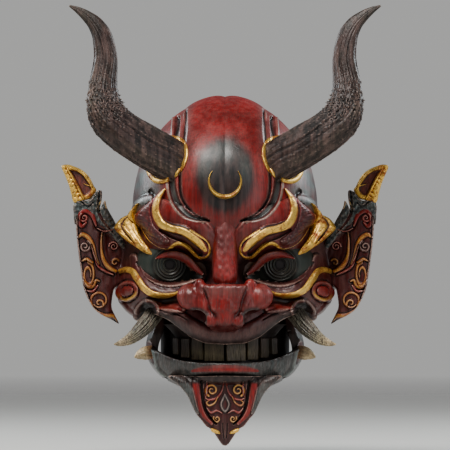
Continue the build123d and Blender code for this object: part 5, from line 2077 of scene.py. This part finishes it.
class MASK_OT_teeth(MaskStep, bpy.types.Operator):
    """Round the upper teeth and paint them darker towards the top and back as painted shade, with the dark
    board behind them
    """

    bl_idname = "mask.teeth"
    bl_label = "Teeth"

    def make(self, use, sizes):
        fit(make_lining(use), "mask", "dark_lacquer", finish_of("smoked_lacquer", use), "mouth_lining")
        fit(make_teeth(use), "mask", "aged_tooth", finish_of("ivory_paint", use), "upper_teeth")


class MASK_OT_jaw(MaskStep, bpy.types.Operator):
    """Carve the hinged lower jaw with its lip and spikes"""

    bl_idname = "mask.jaw"
    bl_label = "Lower jaw"

    def make(self, use, sizes):
        fit(make_jaw(use), "jaw", "red_lacquer", finish_of("lacquered_wood", use), "lower_jaw")
        fit_pair(make_spike(use), "jaw_spike", "jaw", "bone", finish_of("ivory_paint", use), "jaw_spike")


class MASK_OT_beard(MaskStep, bpy.types.Operator):
    """Carve the pointed beard with its scrolls and claws"""

    bl_idname = "mask.beard"
    bl_label = "Beard"

    def make(self, use, sizes):
        finish = finish_of("lacquered_wood", use)
        fit(make_beard(use), "jaw", "red_lacquer", finish, "beard")
        fit(make_claws(use), "jaw", "gold_leaf", finish, "beard_claws")


class MASK_OT_fittings(MaskStep, bpy.types.Operator):
    """Give the pegs, pins, bushes and blocks their wood, brass and lacquer"""

    bl_idname = "mask.fittings"
    bl_label = "Fittings"

    def make(self, use, sizes):
        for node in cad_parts:
            finish = FITTINGS.get(node.replace("left_", "").replace("right_", ""))
            if finish:
                for slot in bpy.data.objects[node].material_slots:
                    slot.material = finish_of(finish, use)


STEPS = [
    MASK_OT_stage, MASK_OT_face, MASK_OT_nose, MASK_OT_brows, MASK_OT_bands, MASK_OT_eyes, MASK_OT_moon,
    MASK_OT_horns, MASK_OT_ears, MASK_OT_tusks, MASK_OT_teeth, MASK_OT_jaw, MASK_OT_beard, MASK_OT_fittings,
]


class MASK_PT_panel(bpy.types.Panel):
    """The steps that make the mask, with its colours and sizes"""

    bl_label = "Demon mask"
    bl_idname = "MASK_PT_panel"
    bl_space_type = "VIEW_3D"
    bl_region_type = "UI"
    bl_category = "Demon mask"

    def draw(self, context):
        column = self.layout.column(align=True)
        for step in STEPS:
            column.operator(step.bl_idname)
        for group in (context.scene.mask_colours, context.scene.mask_sizes):
            column = self.layout.column(align=True)
            for key in group.__annotations__:
                column.prop(group, key)


def register():
    for kind in (MaskColours, MaskSizes, *STEPS, MASK_PT_panel):
        bpy.utils.register_class(kind)
    bpy.types.Scene.mask_colours = bpy.props.PointerProperty(type=MaskColours)
    bpy.types.Scene.mask_sizes = bpy.props.PointerProperty(type=MaskSizes)


def unregister():
    del bpy.types.Scene.mask_colours, bpy.types.Scene.mask_sizes
    for kind in reversed((MaskColours, MaskSizes, *STEPS, MASK_PT_panel)):
        bpy.utils.unregister_class(kind)


def main():
    register()
    for step in STEPS:
        group, name = step.bl_idname.split(".")
        getattr(getattr(bpy.ops, group), name)()


if __name__ == "__main__":
    main()
